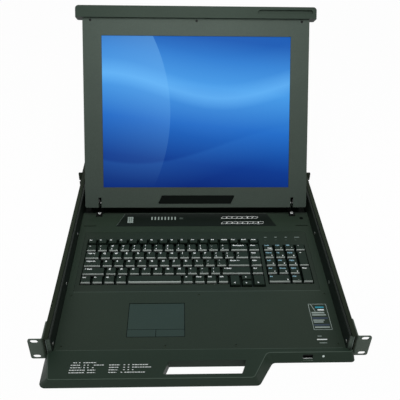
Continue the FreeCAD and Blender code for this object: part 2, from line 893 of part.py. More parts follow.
def touchpad():
    """Touch surface on a base plate that also carries the two buttons."""
    left, right, front, rear = touch_bounds()
    top = deck_z - touch_sink
    low = deck_under - touch_base_sheet
    base = box(left - touch_flange, right + touch_flange, front - touch_flange, rear + touch_flange,
               low, deck_under)
    line = front + touch_button_depth
    surface = box(left, right, line + touch_fit, rear, deck_under, top)
    floor = top - touch_button_sheet - touch_button_travel - 0.1
    pocket = box(left, right, front, line + touch_fit, floor, deck_under)
    return base.cut(pocket).fuse(surface).removeSplitter()


def touch_button(side):
    left, right, front, rear = touch_bounds()
    top = deck_z - touch_sink
    line = front + touch_button_depth
    inner = touch_centre + side * touch_fit / 2
    outer = touch_centre + side * (touch_width / 2 - touch_fit)
    x0, x1 = sorted((inner, outer))
    button = box(x0, x1, front + touch_fit, line, top - touch_button_sheet, top)
    ends = [edge for edge in button.Edges
            if abs(edge.CenterOfMass.z - top) < 0.001 and edge.Length > touch_button_depth]
    return button.makeFillet(0.4, ends)


def control_strip():
    rear = deck_rear - strip_rear_inset
    front = rear - strip_depth
    corners = [(-strip_front_half, front, deck_z, 0), (strip_front_half, front, deck_z, 0),
               (strip_rear_half, rear, deck_z, 0), (-strip_rear_half, rear, deck_z, 0)]
    return prism(corners, axis_z * strip_sheet).cut(Part.makeCompound(port_lamp_boxes(0.0)))


def port_lamp_boxes(proud):
    rear = deck_rear - strip_rear_inset - port_lamp_inset
    lamps = []
    for index in range(port_count):
        left = port_lamp_left + index * port_lamp_pitch - port_lamp_width / 2
        lamps.append(box(left, left + port_lamp_width, rear - port_lamp_depth, rear, deck_z,
                         deck_z + strip_sheet + proud))
    return lamps


def port_lamps():
    return Part.makeCompound(port_lamp_boxes(port_lamp_proud))


def hinge_arm_plate():
    """Right hinge arm: foot on the tray, tab on the deck, eye round the pin."""
    x0 = hinge_offset - hinge_arm / 2
    x1 = hinge_offset + hinge_arm / 2
    front = hinge_y - hinge_arm_radius
    rear = hinge_y + hinge_arm_radius
    eye = cylinder(x0, hinge_y, hinge_z, hinge_arm_radius, hinge_arm, axis_x)
    blade = box(x0, x1, front, rear, tray_floor, hinge_z)
    foot_rear = rear + hinge_arm_radius
    foot = box(hinge_offset - hinge_foot / 2, hinge_offset + hinge_foot / 2, deck_rear, foot_rear,
               tray_floor, tray_floor + hinge_foot_sheet)
    tab = box(x0, x1 + hinge_tab, deck_rear - hinge_tab_depth, deck_rear, deck_z, deck_z + hinge_tab_sheet)
    bridge = box(x0, x1, deck_rear, front, deck_z, deck_z + hinge_tab_sheet)
    bore = cylinder(x0, hinge_y, hinge_z, hinge_pin_radius + hinge_pin_fit, hinge_arm, axis_x)
    return fused([eye, blade, foot, tab, bridge]).cut(bore)


def hinge_pins():
    reach = hinge_notch / 2 + hinge_lug + hinge_lug_gap
    pin = cylinder(hinge_offset - reach, hinge_y, hinge_z, hinge_pin_radius, 2 * reach, axis_x)
    return Part.makeCompound([pin, mirrored(pin)])


def rear_cover():
    """Folded cover of the electronics behind the display."""
    half = tray_inner_half - cover_side_gap
    top = top_z - cover_drop
    rear = tray_rear - tray_sheet
    return fused([
        box(-half, half, cover_front, rear, top - cover_sheet, top),
        box(-half, half, cover_front, cover_front + cover_sheet, tray_floor, top),
        box(-half, -half + cover_sheet, cover_front, rear, tray_floor, top),
        box(half - cover_sheet, half, cover_front, rear, tray_floor, top)])


def main_board():
    """Board with the port sockets' controllers, memory and a heat sink."""
    left = main_board_left()
    rear = tray_rear - tray_sheet
    low = tray_floor + main_board_lift
    top = low + board_sheet
    front = rear - main_board_depth
    pieces = [box(left, left + main_board_width, front, rear, low, top)]
    for share, width, depth, height in board_parts:
        x = left + share * main_board_width
        y = front + main_board_depth * 0.35
        pieces.append(box(x - width / 2, x + width / 2, y - depth / 2, y + depth / 2, top, top + height))
    return fused(pieces)


def port_connectors():
    """One metal-shelled video port per computer, standing on the board's rear edge."""
    rear = tray_rear - tray_sheet
    level = port_level()
    body = box(-port_body_width / 2, port_body_width / 2, rear - port_body_depth, rear,
               -port_body_height / 2, port_body_height / 2)
    shell = port_shell(rear, tray_rear + port_shell_proud, 0.0)
    face = port_shell(tray_rear + port_shell_proud - 1.0, tray_rear + port_shell_proud, -0.8)
    port = fused([body, shell]).cut(face)
    pieces = [port, jack_nut(-1), jack_nut(1)]
    ports = []
    for x in port_places():
        for piece in pieces:
            one = piece.copy()
            one.translate(Vector(x, 0, level))
            ports.append(one)
    return Part.makeCompound(ports)


def jack_nut(side):
    """Six-sided standoff beside a port, on the outside of the rear wall."""
    x = side * (port_body_width / 2 - port_nut_inset)
    corners = [(x + across, tray_rear, up, 0) for across, up in hexagon(port_nut_radius)]
    return prism(corners, axis_y * port_nut_length)


def power_supply():
    """Metal-cased supply beside the main board."""
    left, right = supply_sides()
    front = cover_front + cover_sheet + supply_side_gap
    top = tray_floor + supply_height
    case = box(left, right, front, front + supply_depth, tray_floor, top)
    step = (right - left) / supply_slots
    slots = []
    for index in range(supply_slots):
        x = left + step * (index + 0.5)
        slots.append(box(x - supply_slot_width / 2, x + supply_slot_width / 2, front + supply_slot_inset,
                         front + supply_depth - supply_slot_inset, top - supply_slot_depth, top))
    return case.cut(slots)


def power_inlet():
    """Three-pin appliance inlet in the rear wall."""
    x, z = inlet_centre(), inlet_level()
    half_width = inlet_width / 2
    half_height = inlet_height / 2
    wall = inlet_wall
    back = tray_rear + inlet_flange_sheet - inlet_depth - wall
    edge = inlet_flange
    body = box(x - half_width - wall, x + half_width + wall, back, tray_rear, z - half_height - wall,
               z + half_height + wall)
    flange = rounded_box(x - half_width - wall - edge, x + half_width + wall + edge,
                         z - half_height - wall - edge * 0.4, z + half_height + wall + edge * 0.4, 0,
                         inlet_flange_sheet, 2.0)
    flange.rotate(Vector(0, 0, 0), axis_x, 90)
    flange.translate(Vector(0, tray_rear + inlet_flange_sheet, 0))
    mouth_y = tray_rear + inlet_flange_sheet
    chamfer = inlet_chamfer
    low, high = z - half_height, z + half_height
    y = back + wall
    corners = [(x - half_width, y, low, 0), (x + half_width, y, low, 0),
               (x + half_width, y, high - chamfer, 0), (x + half_width - chamfer, y, high, 0),
               (x - half_width + chamfer, y, high, 0), (x - half_width, y, high - chamfer, 0)]
    socket = prism(corners, axis_y * (mouth_y - y))
    inlet = fused([body, flange]).cut(socket)
    for index, drop in ((-1, -inlet_pin_drop), (0, inlet_pin_drop), (1, -inlet_pin_drop)):
        left = x + index * inlet_pin_pitch - inlet_pin_sheet / 2
        foot = z + drop - inlet_pin_width / 2
        pin = box(left, left + inlet_pin_sheet, y - wall / 4, y + inlet_pin_length,
                  foot, foot + inlet_pin_width)
        inlet = inlet.fuse(pin)
    return inlet.removeSplitter()


# --- Display, drawn closed over the deck and then turned open ---

def opened(shape):
    """The closed display's piece, turned to where it stands open."""
    turned = shape.copy()
    turned.rotate(Vector(0, hinge_y, hinge_z), axis_x, -open_angle)
    return turned


def panel_y(along):
    """Closed place of a point that far from the panel's lower edge."""
    return panel_end_y - along


def panel_box(x0, x1, low, high, front, back):
    """Box in the panel: from low to high up the panel, from front to back through it."""
    return box(x0, x1, panel_y(high), panel_y(low), face_z + front, face_z + back)


def hinge_notches(front, back):
    """Notches in the panel's lower edge for both hinge arms."""
    half = hinge_notch / 2
    notch = panel_box(hinge_offset - half, hinge_offset + half, -1.0, hinge_notch_length, front, back)
    return [notch, mirrored(notch)]


def osd_corners(z, grow):
    low = bezel_bottom - strip_top - osd_height / 2 - grow
    high = low + osd_height + 2 * grow
    half = osd_width / 2 + grow
    shift = osd_slant / 2
    return [(-half + shift, panel_y(high), z, 1.5), (half + shift, panel_y(high), z, 1.5),
            (half - shift, panel_y(low), z, 1.5), (-half - shift, panel_y(low), z, 1.5)]


def bezel():
    """Front plate of the display with the screen window and the control panel's recess."""
    half = panel_half
    plate = rounded_box(-half, half, panel_y(panel_height), panel_y(0), face_z, face_z + bezel_sheet,
                        panel_corner)
    screen_half = screen_width / 2
    window = panel_box(-screen_half, screen_half, bezel_bottom, bezel_bottom + screen_height, 0, bezel_sheet)
    recess = prism(osd_corners(face_z, frame_fit), axis_z * osd_sheet)
    return plate.cut([window, recess] + hinge_notches(0, bezel_sheet))


def bezel_post_places():
    high = panel_y(panel_height - bezel_post_top)
    low = panel_y(bezel_post_low)
    side = panel_half - bezel_post_inset
    low_side = panel_half - bezel_post_low_inset
    return [(-side, high), (0.0, high), (side, high), (-low_side, low), (low_side, low)]


def display_shell():
    """Back of the display: a shallow pan with posts that hold the bezel."""
    half = panel_half
    pan = rounded_box(-half, half, panel_y(panel_height), panel_y(0), face_z + bezel_sheet,
                      face_z + panel_thickness, panel_corner)
    wall = shell_wall
    hollow = rounded_box(-half + wall, half - wall, panel_y(panel_height) + wall, panel_y(0) - wall,
                         face_z + bezel_sheet, face_z + panel_thickness - wall, panel_corner - wall)
    rim = [edge for edge in pan.Edges if edge.BoundBox.ZMin > face_z + panel_thickness - 0.001]
    shell = pan.makeChamfer(wall * 0.8, rim).cut(hollow)
    posts = [standoff(x, y, face_z + bezel_sheet, face_z + panel_thickness - wall)
             for x, y in bezel_post_places()]
    return fused([shell] + posts).cut(hinge_notches(bezel_sheet, panel_thickness))


def bar_rim(bar, y, z):
    return [edge for edge in bar.Edges if edge.Length > bar_span / 2
            and abs(edge.CenterOfMass.y - y) < 0.001 and abs(edge.CenterOfMass.z - z) < 0.001]


def handle_bar():
    """Bar along the display's upper edge: the drawer's front when closed, with a finger recess."""
    half = bar_span / 2
    front = -bar_proud
    high = panel_height + bar_height
    y0, y1 = panel_y(high), panel_y(panel_height)
    low_z, high_z = face_z + front, face_z + panel_thickness
    corners = [(-half, y0, low_z, bar_corner), (half, y0, low_z, bar_corner), (half, y1, low_z, 0),
               (-half, y1, low_z, 0)]
    bar = prism(corners, axis_z * (high_z - low_z))
    bar = bar.makeChamfer(bar_rear_edge, bar_rim(bar, y0, high_z))
    bar = bar.makeFillet(bar_edge, bar_rim(bar, y0, low_z))
    low, rounding = panel_height + recess_offset, recess_height * 0.35
    y0, y1 = panel_y(low + recess_height), panel_y(low)
    recess = [(recess_left + recess_slant, y0, low_z, rounding), (recess_right, y0, low_z, rounding),
              (recess_right, y1, low_z, rounding), (recess_left, y1, low_z, rounding)]
    return bar.cut(prism(recess, axis_z * recess_depth))


def osd_strip():
    return prism(osd_corners(face_z + osd_sheet, 0.0), axis_z * -(osd_sheet + osd_proud))


def screen_panel():
    half = screen_width / 2 + screen_overlap
    low = bezel_bottom - screen_overlap
    high = bezel_bottom + screen_height + screen_overlap
    return panel_box(-half, half, low, high, bezel_sheet, bezel_sheet + screen_glass)


def display_module():
    half = screen_width / 2 + module_margin_side
    low = bezel_bottom - module_margin_end
    high = bezel_bottom + screen_height + module_margin_end
    front = bezel_sheet + screen_glass
    module = panel_box(-half, half, low, high, bezel_sheet, front + module_depth)
    glass_half = screen_width / 2 + screen_overlap
    pocket = panel_box(-glass_half, glass_half, bezel_bottom - screen_overlap,
                       bezel_bottom + screen_height + screen_overlap, bezel_sheet, front)
    return module.cut(pocket)


def display_board():
    front = bezel_sheet + screen_glass + module_depth
    middle = bezel_bottom + screen_height / 2
    half = display_board_width / 2
    low = middle - display_board_height / 2
    pieces = [panel_box(-half, half, low, low + display_board_height, front, front + board_sheet)]
    for offset in (-0.3, 0.05, 0.32):
        x = offset * display_board_width
        pieces.append(panel_box(x - 9, x + 9, middle - 9, middle + 9, front + board_sheet,
                                front + board_sheet + display_chip_height))
    return fused(pieces)


def hinge_lugs():
    """Two blocks in the panel beside each notch, bored for the pin."""
    lugs = []
    for side in (-1, 1):
        inner = hinge_notch / 2 + hinge_lug_gap
        x0, x1 = sorted((hinge_offset + side * inner, hinge_offset + side * (inner + hinge_lug)))
        low = hinge_setback - hinge_lug_radius
        high = hinge_setback + hinge_lug_radius
        block = panel_box(x0, x1, low, high, bezel_sheet, panel_thickness - shell_wall)
        bore = cylinder(x0, hinge_y, hinge_z, hinge_pin_radius + hinge_pin_fit, hinge_lug, axis_x)
        lug = block.cut(bore)
        lugs += [lug, mirrored(lug)]
    return Part.makeCompound(lugs)


def all_nodes():
    nodes = {
        "rail_right": rail(),
        "rail_left": mirrored(rail()),
        "front_ear_right": front_ear(),
        "front_ear_left": mirrored(front_ear()),
        "rear_bracket_right": rear_bracket(),
        "rear_bracket_left": mirrored(rear_bracket()),
        "slide_middle_right": slide_middle(),
        "slide_middle_left": mirrored(slide_middle()),
        "slide_inner_right": slide_inner(),
        "slide_inner_left": mirrored(slide_inner()),
        "slide_cap_right": slide_cap(),
        "slide_cap_left": mirrored(slide_cap()),
        "tray_pan": tray_pan(),
        "deck_cover": deck_cover(),
        "front_handle": front_handle(),
        "usb_socket": usb_socket(),
        "front_lamp": front_lamp(),
        "keyboard_frame": keyboard_frame(),
        "key_guide_plate": key_guide_plate(),
        "keyboard_board": keyboard_board(),
        "touchpad": touchpad(),
        "touch_button_left": touch_button(-1),
        "touch_button_right": touch_button(1),
        "control_strip": control_strip(),
        "port_lamps": port_lamps(),
        "hinge_arm_right": hinge_arm_plate(),
        "hinge_arm_left": mirrored(hinge_arm_plate()),
        "hinge_pins": hinge_pins(),
        "rear_cover": rear_cover(),
        "main_board": main_board(),
        "port_connectors": port_connectors(),
        "power_supply": power_supply(),
        "power_inlet": power_inlet(),
        "display_bezel": opened(bezel()),
        "display_shell": opened(display_shell()),
        "display_handle_bar": opened(handle_bar()),
        "display_control_panel": opened(osd_strip()),
        "screen_panel": opened(screen_panel()),
        "display_module": opened(display_module()),
        "display_board": opened(display_board()),
        "hinge_lugs": opened(hinge_lugs()),
    }
    for name in key_groups:
        nodes[name] = key_node(name)
    return nodes


os.makedirs("parts", exist_ok=True)
for name, shape in all_nodes().items():
    shape.exportStep("parts/" + name + ".step")
    print(name, "solids", len(shape.Solids), "volume", round(shape.Volume, 1))
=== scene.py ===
import bmesh
import bpy
import json
import math
from mathutils import Matrix, Vector

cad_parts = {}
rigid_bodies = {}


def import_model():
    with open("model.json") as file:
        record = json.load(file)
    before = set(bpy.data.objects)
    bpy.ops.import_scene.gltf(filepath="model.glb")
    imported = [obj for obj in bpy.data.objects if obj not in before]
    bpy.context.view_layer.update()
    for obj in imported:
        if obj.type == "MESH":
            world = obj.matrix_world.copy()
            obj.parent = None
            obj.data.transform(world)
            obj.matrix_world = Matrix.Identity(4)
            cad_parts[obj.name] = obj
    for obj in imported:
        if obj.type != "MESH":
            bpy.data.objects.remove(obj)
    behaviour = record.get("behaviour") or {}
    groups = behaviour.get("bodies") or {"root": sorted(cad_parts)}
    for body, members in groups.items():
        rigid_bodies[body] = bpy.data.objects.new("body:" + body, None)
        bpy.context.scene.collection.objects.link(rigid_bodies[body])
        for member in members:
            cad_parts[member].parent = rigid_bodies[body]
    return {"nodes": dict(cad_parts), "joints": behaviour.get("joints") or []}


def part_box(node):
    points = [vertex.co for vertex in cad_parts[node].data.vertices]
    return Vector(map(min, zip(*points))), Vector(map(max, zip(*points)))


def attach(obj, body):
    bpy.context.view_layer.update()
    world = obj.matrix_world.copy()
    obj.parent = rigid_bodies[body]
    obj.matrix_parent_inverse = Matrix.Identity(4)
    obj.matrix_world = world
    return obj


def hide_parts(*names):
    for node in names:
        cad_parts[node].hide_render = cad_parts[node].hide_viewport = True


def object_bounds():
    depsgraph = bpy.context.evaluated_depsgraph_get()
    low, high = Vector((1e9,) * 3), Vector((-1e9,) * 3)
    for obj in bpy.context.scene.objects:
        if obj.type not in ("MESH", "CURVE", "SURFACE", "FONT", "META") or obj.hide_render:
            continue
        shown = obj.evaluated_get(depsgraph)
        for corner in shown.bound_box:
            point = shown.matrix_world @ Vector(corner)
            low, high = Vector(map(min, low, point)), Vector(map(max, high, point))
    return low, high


for spare in list(bpy.data.objects):
    bpy.data.objects.remove(spare)
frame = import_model()
cadLow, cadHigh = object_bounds()
nodes = frame["nodes"]
mm = 0.001
sides = (("Left", -1), ("Right", 1))
print("frame loaded:", len(nodes), "nodes")

displayCurve = {"knee": 0.04045, "slope": 12.92, "lift": 0.055, "power": 2.4}


def tone(red, green, blue):
    # display colour, 0 to 255, as the linear colour that a shader takes
    def linear(value):
        value /= 255
        if value <= displayCurve["knee"]:
            return value / displayCurve["slope"]
        return ((value + displayCurve["lift"]) / (1 + displayCurve["lift"])) ** displayCurve["power"]
    return linear(red), linear(green), linear(blue), 1.0


def shade(colour, factor):
    return tuple(min(1.0, part * factor) for part in colour[:3]) + (1.0,)


class Wire:
    # a node's output that takes part in Python sums
    def __init__(self, finish, socket):
        self.finish = finish
        self.socket = socket

    def work(self, operation, first, second):
        return self.finish.add("ShaderNodeMath", {"operation": operation}, {0: first, 1: second})

    def __add__(self, other):
        return self.work("ADD", self, other)

    def __radd__(self, other):
        return self.work("ADD", other, self)

    def __sub__(self, other):
        return self.work("SUBTRACT", self, other)

    def __rsub__(self, other):
        return self.work("SUBTRACT", other, self)

    def __mul__(self, other):
        return self.work("MULTIPLY", self, other)

    def __rmul__(self, other):
        return self.work("MULTIPLY", other, self)

    def __pow__(self, other):
        return self.work("POWER", self, other)

    def __rpow__(self, other):
        return self.work("POWER", other, self)

    def __gt__(self, other):
        return self.work("GREATER_THAN", self, other)

    def __lt__(self, other):
        return self.work("LESS_THAN", self, other)


class Finish:
    # one material, or the world, and the calls that add its nodes
    def __init__(self, name, owner=None):
        self.owner = owner or bpy.data.materials.new(name)
        self.owner.use_nodes = True
        self.tree = self.owner.node_tree
        self.shader = self.tree.nodes.get("Principled BSDF")
        self.place = self.add("ShaderNodeTexCoord", {}, {}, "Object")

    def fill(self, node, sockets):
        for key, value in sockets.items():
            if isinstance(value, Wire):
                self.tree.links.new(value.socket, node.inputs[key])
            else:
                node.inputs[key].default_value = value

    def add(self, kind, settings, sockets, output=0):
        node = self.tree.nodes.new(kind)
        for key, value in settings.items():
            if key != "stops":
                setattr(node, key, value)
                continue
            while len(node.color_ramp.elements) < len(value):
                node.color_ramp.elements.new(0.5)
            for element, (position, colour) in zip(node.color_ramp.elements, value):
                element.position = position
                element.color = colour
        self.fill(node, sockets)
        return Wire(self, node.outputs[output])

    def set(self, **sockets):
        self.fill(self.shader, {key.replace("_", " "): value for key, value in sockets.items()})

    def noise(self, scale, detail):
        return self.add("ShaderNodeTexNoise", {}, {"Vector": self.place, "Scale": scale, "Detail": detail})

    def mix(self, factor, first, second):
        # a Mix node's colours are its sockets 6 and 7, and its colour comes out at 2
        return self.add("ShaderNodeMix", {"data_type": "RGBA"}, {0: factor, 6: first, 7: second}, 2)

    def shades(self, factor, colour, span):
        # from a darker to a lighter shade of one colour
        return self.mix(factor, shade(colour, span[0]), shade(colour, span[1]))

    def along(self, direction):
        # distance along a direction, in metres
        return self.add("ShaderNodeVectorMath", {"operation": "DOT_PRODUCT"},
                        {0: self.place, 1: tuple(direction)}, 1)

    def wave(self, value):
        return self.add("ShaderNodeMath", {"operation": "SINE"}, {0: value})

    def ramp(self, value, stops):
        return self.add("ShaderNodeValToRGB", {"stops": stops}, {0: value})

    def emboss(self, height, strength, distance):
        sockets = {"Height": height, "Strength": strength, "Distance": distance}
        self.set(Normal=self.add("ShaderNodeBump", {}, sockets))


# in each finish, a noise is its scale and detail, shares weigh the noises, and span is dark to light
coatLook = {"grain": (1500.0, 3.0), "patch": (11.0, 3.0), "speck": (430.0, 2.0), "shares": (0.3, 0.45, 0.25),
            "span": (0.62, 1.38), "roughBelow": 0.09, "roughSpread": 0.18, "bump": 0.4, "relief": 0.08 * mm}


def powderCoat(name, colour, rough=0.52, specular=0.16):
    # sprayed coat: fine orange peel, slight patches, a little dust in the grain
    finish = Finish(name)
    grain = finish.noise(*coatLook["grain"])
    patch = finish.noise(*coatLook["patch"])
    speck = finish.noise(*coatLook["speck"])
    patchShare, speckShare, grainShare = coatLook["shares"]
    mottle = patch * patchShare + speck * speckShare + grain * grainShare
    finish.set(Base_Color=finish.shades(mottle, colour, coatLook["span"]),
               Roughness=rough - coatLook["roughBelow"] + grain * coatLook["roughSpread"],
               Specular_IOR_Level=specular)
    finish.emboss(grain, coatLook["bump"], coatLook["relief"])
    return finish.owner


mouldLook = {"patch": (16.0, 2.0), "grainDetail": 4.0, "shares": (0.6, 0.4), "span": (0.84, 1.16),
             "roughBelow": 0.07, "roughSpread": 0.14, "bump": 0.35}


def moulded(name, colour, rough=0.5, grain=900.0, relief=0.05 * mm, specular=0.16):
    # moulded plastic with a spark-eroded grain
    finish = Finish(name)
    pitted = finish.noise(grain, mouldLook["grainDetail"])
    patch = finish.noise(*mouldLook["patch"])
    patchShare, grainShare = mouldLook["shares"]
    finish.set(Base_Color=finish.shades(patch * patchShare + pitted * grainShare, colour, mouldLook["span"]),
               Roughness=rough - mouldLook["roughBelow"] + pitted * mouldLook["roughSpread"],
               Specular_IOR_Level=specular)
    finish.emboss(pitted, mouldLook["bump"], relief)
    return finish.owner


plateLook = {"lines": (70.0, 5.0), "fine": (1100.0, 2.0), "span": (0.8, 1.12), "roughBelow": 0.06,
             "roughSpread": 0.16, "bump": 0.2, "relief": 0.02 * mm}


def plated(name, colour, rough=0.34):
    # zinc plate: faint rolling lines along the sheet, and cloudy patches
    finish = Finish(name)
    lines = finish.noise(*plateLook["lines"])
    fine = finish.noise(*plateLook["fine"])
    finish.set(Base_Color=finish.shades(lines, colour, plateLook["span"]), Metallic=1.0,
               Roughness=rough - plateLook["roughBelow"] + fine * plateLook["roughSpread"])
    finish.emboss(fine, plateLook["bump"], plateLook["relief"])
    return finish.owner


boardLook = {"across": 2400.0, "along": 1900.0, "cloud": (160.0, 1.0), "level": 0.72, "share": 0.5,
             "mask": tone(18, 74, 44), "track": tone(52, 118, 70), "rough": 0.34, "roughSpread": 0.12,
             "specular": 0.5}


def circuitBoard(name):
    # green mask with copper tracks showing through
    finish = Finish(name)
    across = finish.wave(finish.along((1, 0, 0)) * boardLook["across"])
    along = finish.wave(finish.along((0, 1, 0)) * boardLook["along"])
    cloud = finish.noise(*boardLook["cloud"])
    tracks = ((across * along + cloud) > boardLook["level"]) * boardLook["share"]
    finish.set(Base_Color=finish.mix(tracks, boardLook["mask"], boardLook["track"]),
               Roughness=boardLook["rough"] + cloud * boardLook["roughSpread"],
               Specular_IOR_Level=boardLook["specular"])
    return finish.owner


inkLook = {"wear": (420.0, 3.0), "share": 0.35, "span": (1.0, 0.62), "rough": 0.5}


def ink(name, colour):
    # printed ink, slightly worn
    finish = Finish(name)
    wear = finish.noise(*inkLook["wear"]) * inkLook["share"]
    finish.set(Base_Color=finish.shades(wear, colour, inkLook["span"]), Roughness=inkLook["rough"])
    return finish.owner


lampLook = {"haze": (500.0, 1.0), "span": (0.88, 1.0), "rough": 0.3, "off": tone(60, 68, 64)}


def glowing(name, colour, strength):
    finish = Finish(name)
    haze = finish.noise(*lampLook["haze"])
    finish.set(Base_Color=lampLook["off"], Roughness=lampLook["rough"], Emission_Strength=strength,
               Emission_Color=finish.shades(haze, colour, lampLook["span"]))
    return finish.owner


finishes = {
    "deck": powderCoat("deckCoat", tone(37, 49, 39)),
    "tray": powderCoat("trayCoat", tone(18, 25, 20)),
    "rail": powderCoat("railCoat", tone(38, 45, 35), specular=0.04),
    "ear": powderCoat("earCoat", tone(80, 92, 82)),
    "bezel": powderCoat("bezelCoat", tone(59, 68, 62), specular=0.05),
    "bar": powderCoat("barCoat", tone(42, 52, 45), specular=0.05),
    "shell": powderCoat("shellCoat", tone(46, 55, 48)),
    "cover": powderCoat("coverCoat", tone(37, 46, 39)),
    "handle": moulded("handleMoulding", tone(38, 52, 42), 0.45, grain=700.0, relief=0.07 * mm,
                      specular=0.12),
    "insert": moulded("insertMoulding", tone(33, 44, 35)),
    "keyTop": moulded("keyTopMoulding", tone(35, 46, 39), 0.55, specular=0.08),
    # near-white skirt colour: a painted highlight on the front skirts of the keys
    "keySkirtHighlight": moulded("keySkirtPaintedHighlight", tone(186, 196, 190), 0.4),
    "touch": moulded("touchSurface", tone(45, 62, 56), 0.42, grain=1300.0, relief=0.02 * mm),
    "black": moulded("blackPlastic", tone(10, 14, 12), 0.6, specular=0.02),
    "strip": moulded("stripFilm", tone(19, 26, 22), 0.42, grain=1300.0, relief=0.02 * mm),
    "blackSteelAndSocketShade": powderCoat("blackSteelAndSocketShade", tone(6, 8, 7), 0.5, specular=0.12),
    "guide": powderCoat("guideCoat", tone(13, 24, 18), 0.5, specular=0.12),
    "slide": plated("slidePlate", tone(70, 76, 72), 0.42),
    "zinc": plated("zincPlate", tone(206, 208, 204)),
    "cap": powderCoat("capCoat", tone(82, 96, 86)),
    # pale line finish: a painted highlight along edges and creases
    "paintedHighlight": moulded("highlightLineFinish", tone(72, 86, 76), 0.42, grain=700.0, relief=0.07 * mm,
                      specular=0.2),
    # near-white non-metal for small nickel parts: their glint is painted into the colour
    "pin": moulded("pinNickel", tone(236, 240, 238), 0.3, specular=0.6),
    "moduleCase": moulded("moduleCase", tone(140, 144, 142)),
    "board": circuitBoard("boardMask"),
    "white": ink("whiteInk", tone(242, 248, 245)),
    "pale": ink("paleInk", tone(150, 164, 158)),
    "faint": ink("faintInk", tone(92, 104, 98)),
    "blue": ink("blueInk", tone(140, 184, 200)),
    "teal": ink("tealInk", tone(20, 150, 172)),
    "navy": ink("navyInk", tone(20, 44, 66)),
    "portLamp": glowing("portLampLight", tone(176, 192, 184), 0.55),
    "powerLamp": glowing("powerLampLight", tone(190, 204, 198), 0.75),
}
print("finishes made:", len(finishes))

nodesOfFinish = {
    "deck": ["deck_cover"],
    "tray": ["tray_pan"],
    "cap": ["slide_cap_left", "slide_cap_right"],
    "rail": ["rail_left", "rail_right", "rear_bracket_left", "rear_bracket_right"],
    "ear": ["front_ear_left", "front_ear_right"],
    "slide": ["slide_inner_left", "slide_inner_right", "slide_middle_left", "slide_middle_right"],
    "bezel": ["display_bezel"],
    "bar": ["display_handle_bar"],
    "shell": ["display_shell"],
    "cover": ["rear_cover"],
    "handle": ["front_handle"],
    "insert": ["keyboard_frame"],
    "touch": ["touchpad", "touch_button_left", "touch_button_right"],
    "black": ["display_control_panel", "power_inlet"],
    "strip": ["control_strip"],
    # the socket's shell takes this black finish: painted shade in the socket's opening
    "blackSteelAndSocketShade": ["hinge_arm_left", "hinge_arm_right", "usb_socket"],
    "guide": ["key_guide_plate"],
    # the hinge pins take the near-white finish, a painted glint
    "pin": ["hinge_pins"],
    "zinc": ["hinge_lugs", "port_connectors", "power_supply"],
    "board": ["keyboard_board", "main_board", "display_board"],
    "moduleCase": ["display_module"],
    "portLamp": ["port_lamps"],
    "powerLamp": ["front_lamp"],
}


def dress(node, material):
    nodes[node].data.materials.clear()
    nodes[node].data.materials.append(material)


for finishName, members in nodesOfFinish.items():
    for member in members:
        dress(member, finishes[finishName])


def joinLoops(shape, loops):
    # skins closed loops of points one after another, and closes both ends
    rings = [[shape.verts.new(point) for point in loop] for loop in loops]
    made = []
    for first, second in zip(rings, rings[1:]):
        for step in range(len(first)):
            after = (step + 1) % len(first)
            made.append(shape.faces.new((first[step], first[after], second[after], second[step])))
    made.append(shape.faces.new(rings[0][::-1]))
    made.append(shape.faces.new(rings[-1]))
    return made


def flat(shape, points, index=0):
    face = shape.faces.new([shape.verts.new(point) for point in points])
    face.material_index = index
    return face


def stroke(shape, start, end, width, index=0):
    # flat line on a level surface
    start, end = Vector(start), Vector(end)
    side = (end - start).cross(Vector((0, 0, 1))).normalized() * width / 2
    return flat(shape, (start + side, end + side, end - side, start - side), index)


def outline(shape, corners, width, index=0):
    for start, end in zip(corners, corners[1:] + corners[:1]):
        stroke(shape, start, end, width, index)


def turned(shape, place, turn, profile, count):
    # body of revolution: profile of (radius, height) along the third axis of the turn
    loops = []
    for radius, height in profile:
        angles = [2 * math.pi * step / count for step in range(count)]
        loops.append([place + turn @ Vector((radius * math.cos(angle), radius * math.sin(angle), height))
                      for angle in angles])
    return joinLoops(shape, loops)


def makePiece(name, shape, finishNames, body, smooth=False):
    bmesh.ops.recalc_face_normals(shape, faces=shape.faces)
    mesh = bpy.data.meshes.new(name)
    shape.to_mesh(mesh)
    shape.free()
    for finishName in finishNames:
        mesh.materials.append(finishes[finishName])
    if smooth:
        mesh.shade_smooth()
    made = bpy.data.objects.new(name, mesh)
    bpy.context.scene.collection.objects.link(made)
    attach(made, body)
    return made


# the display's own coordinates: across, up from its lower edge, out of its front face
hinge = next(joint for joint in frame["joints"] if joint["name"] == "display_hinge")
pivot = Vector(hinge["pos_m"])
openAngle = math.radians(hinge["range_deg"][1])
opening = Matrix.Translation(pivot) @ Matrix.Rotation(-openAngle, 4, "X") @ Matrix.Translation(-pivot)
closing = opening.inverted()


def closedBox(node):
    # box of a display piece while the display is folded flat
    places = [closing @ vertex.co for vertex in nodes[node].data.vertices]
    return (Vector([min(place[axis] for place in places) for axis in range(3)]),
            Vector([max(place[axis] for place in places) for axis in range(3)]))


bezelLow, bezelHigh = closedBox("display_bezel")
shellHigh = closedBox("display_shell")[1]
panelTall = bezelHigh.y - bezelLow.y
panelOut = (opening.to_3x3() @ Vector((0, 0, -1))).normalized()
panelUp = (opening.to_3x3() @ Vector((0, -1, 0))).normalized()


def onPanel(across, up, out=0.0):
    return opening @ Vector((across, bezelHigh.y - up, bezelLow.z - out))


screwLook = {"profile": ((1.0, 0.0), (1.0, 0.35), (0.92, 0.72), (0.72, 0.95), (0.5, 1.0)), "sides": 20,
             "spin": 0.35, "spinStep": 1.1, "crossLength": 0.55, "crossWidth": 0.16, "crossLift": 0.02 * mm}


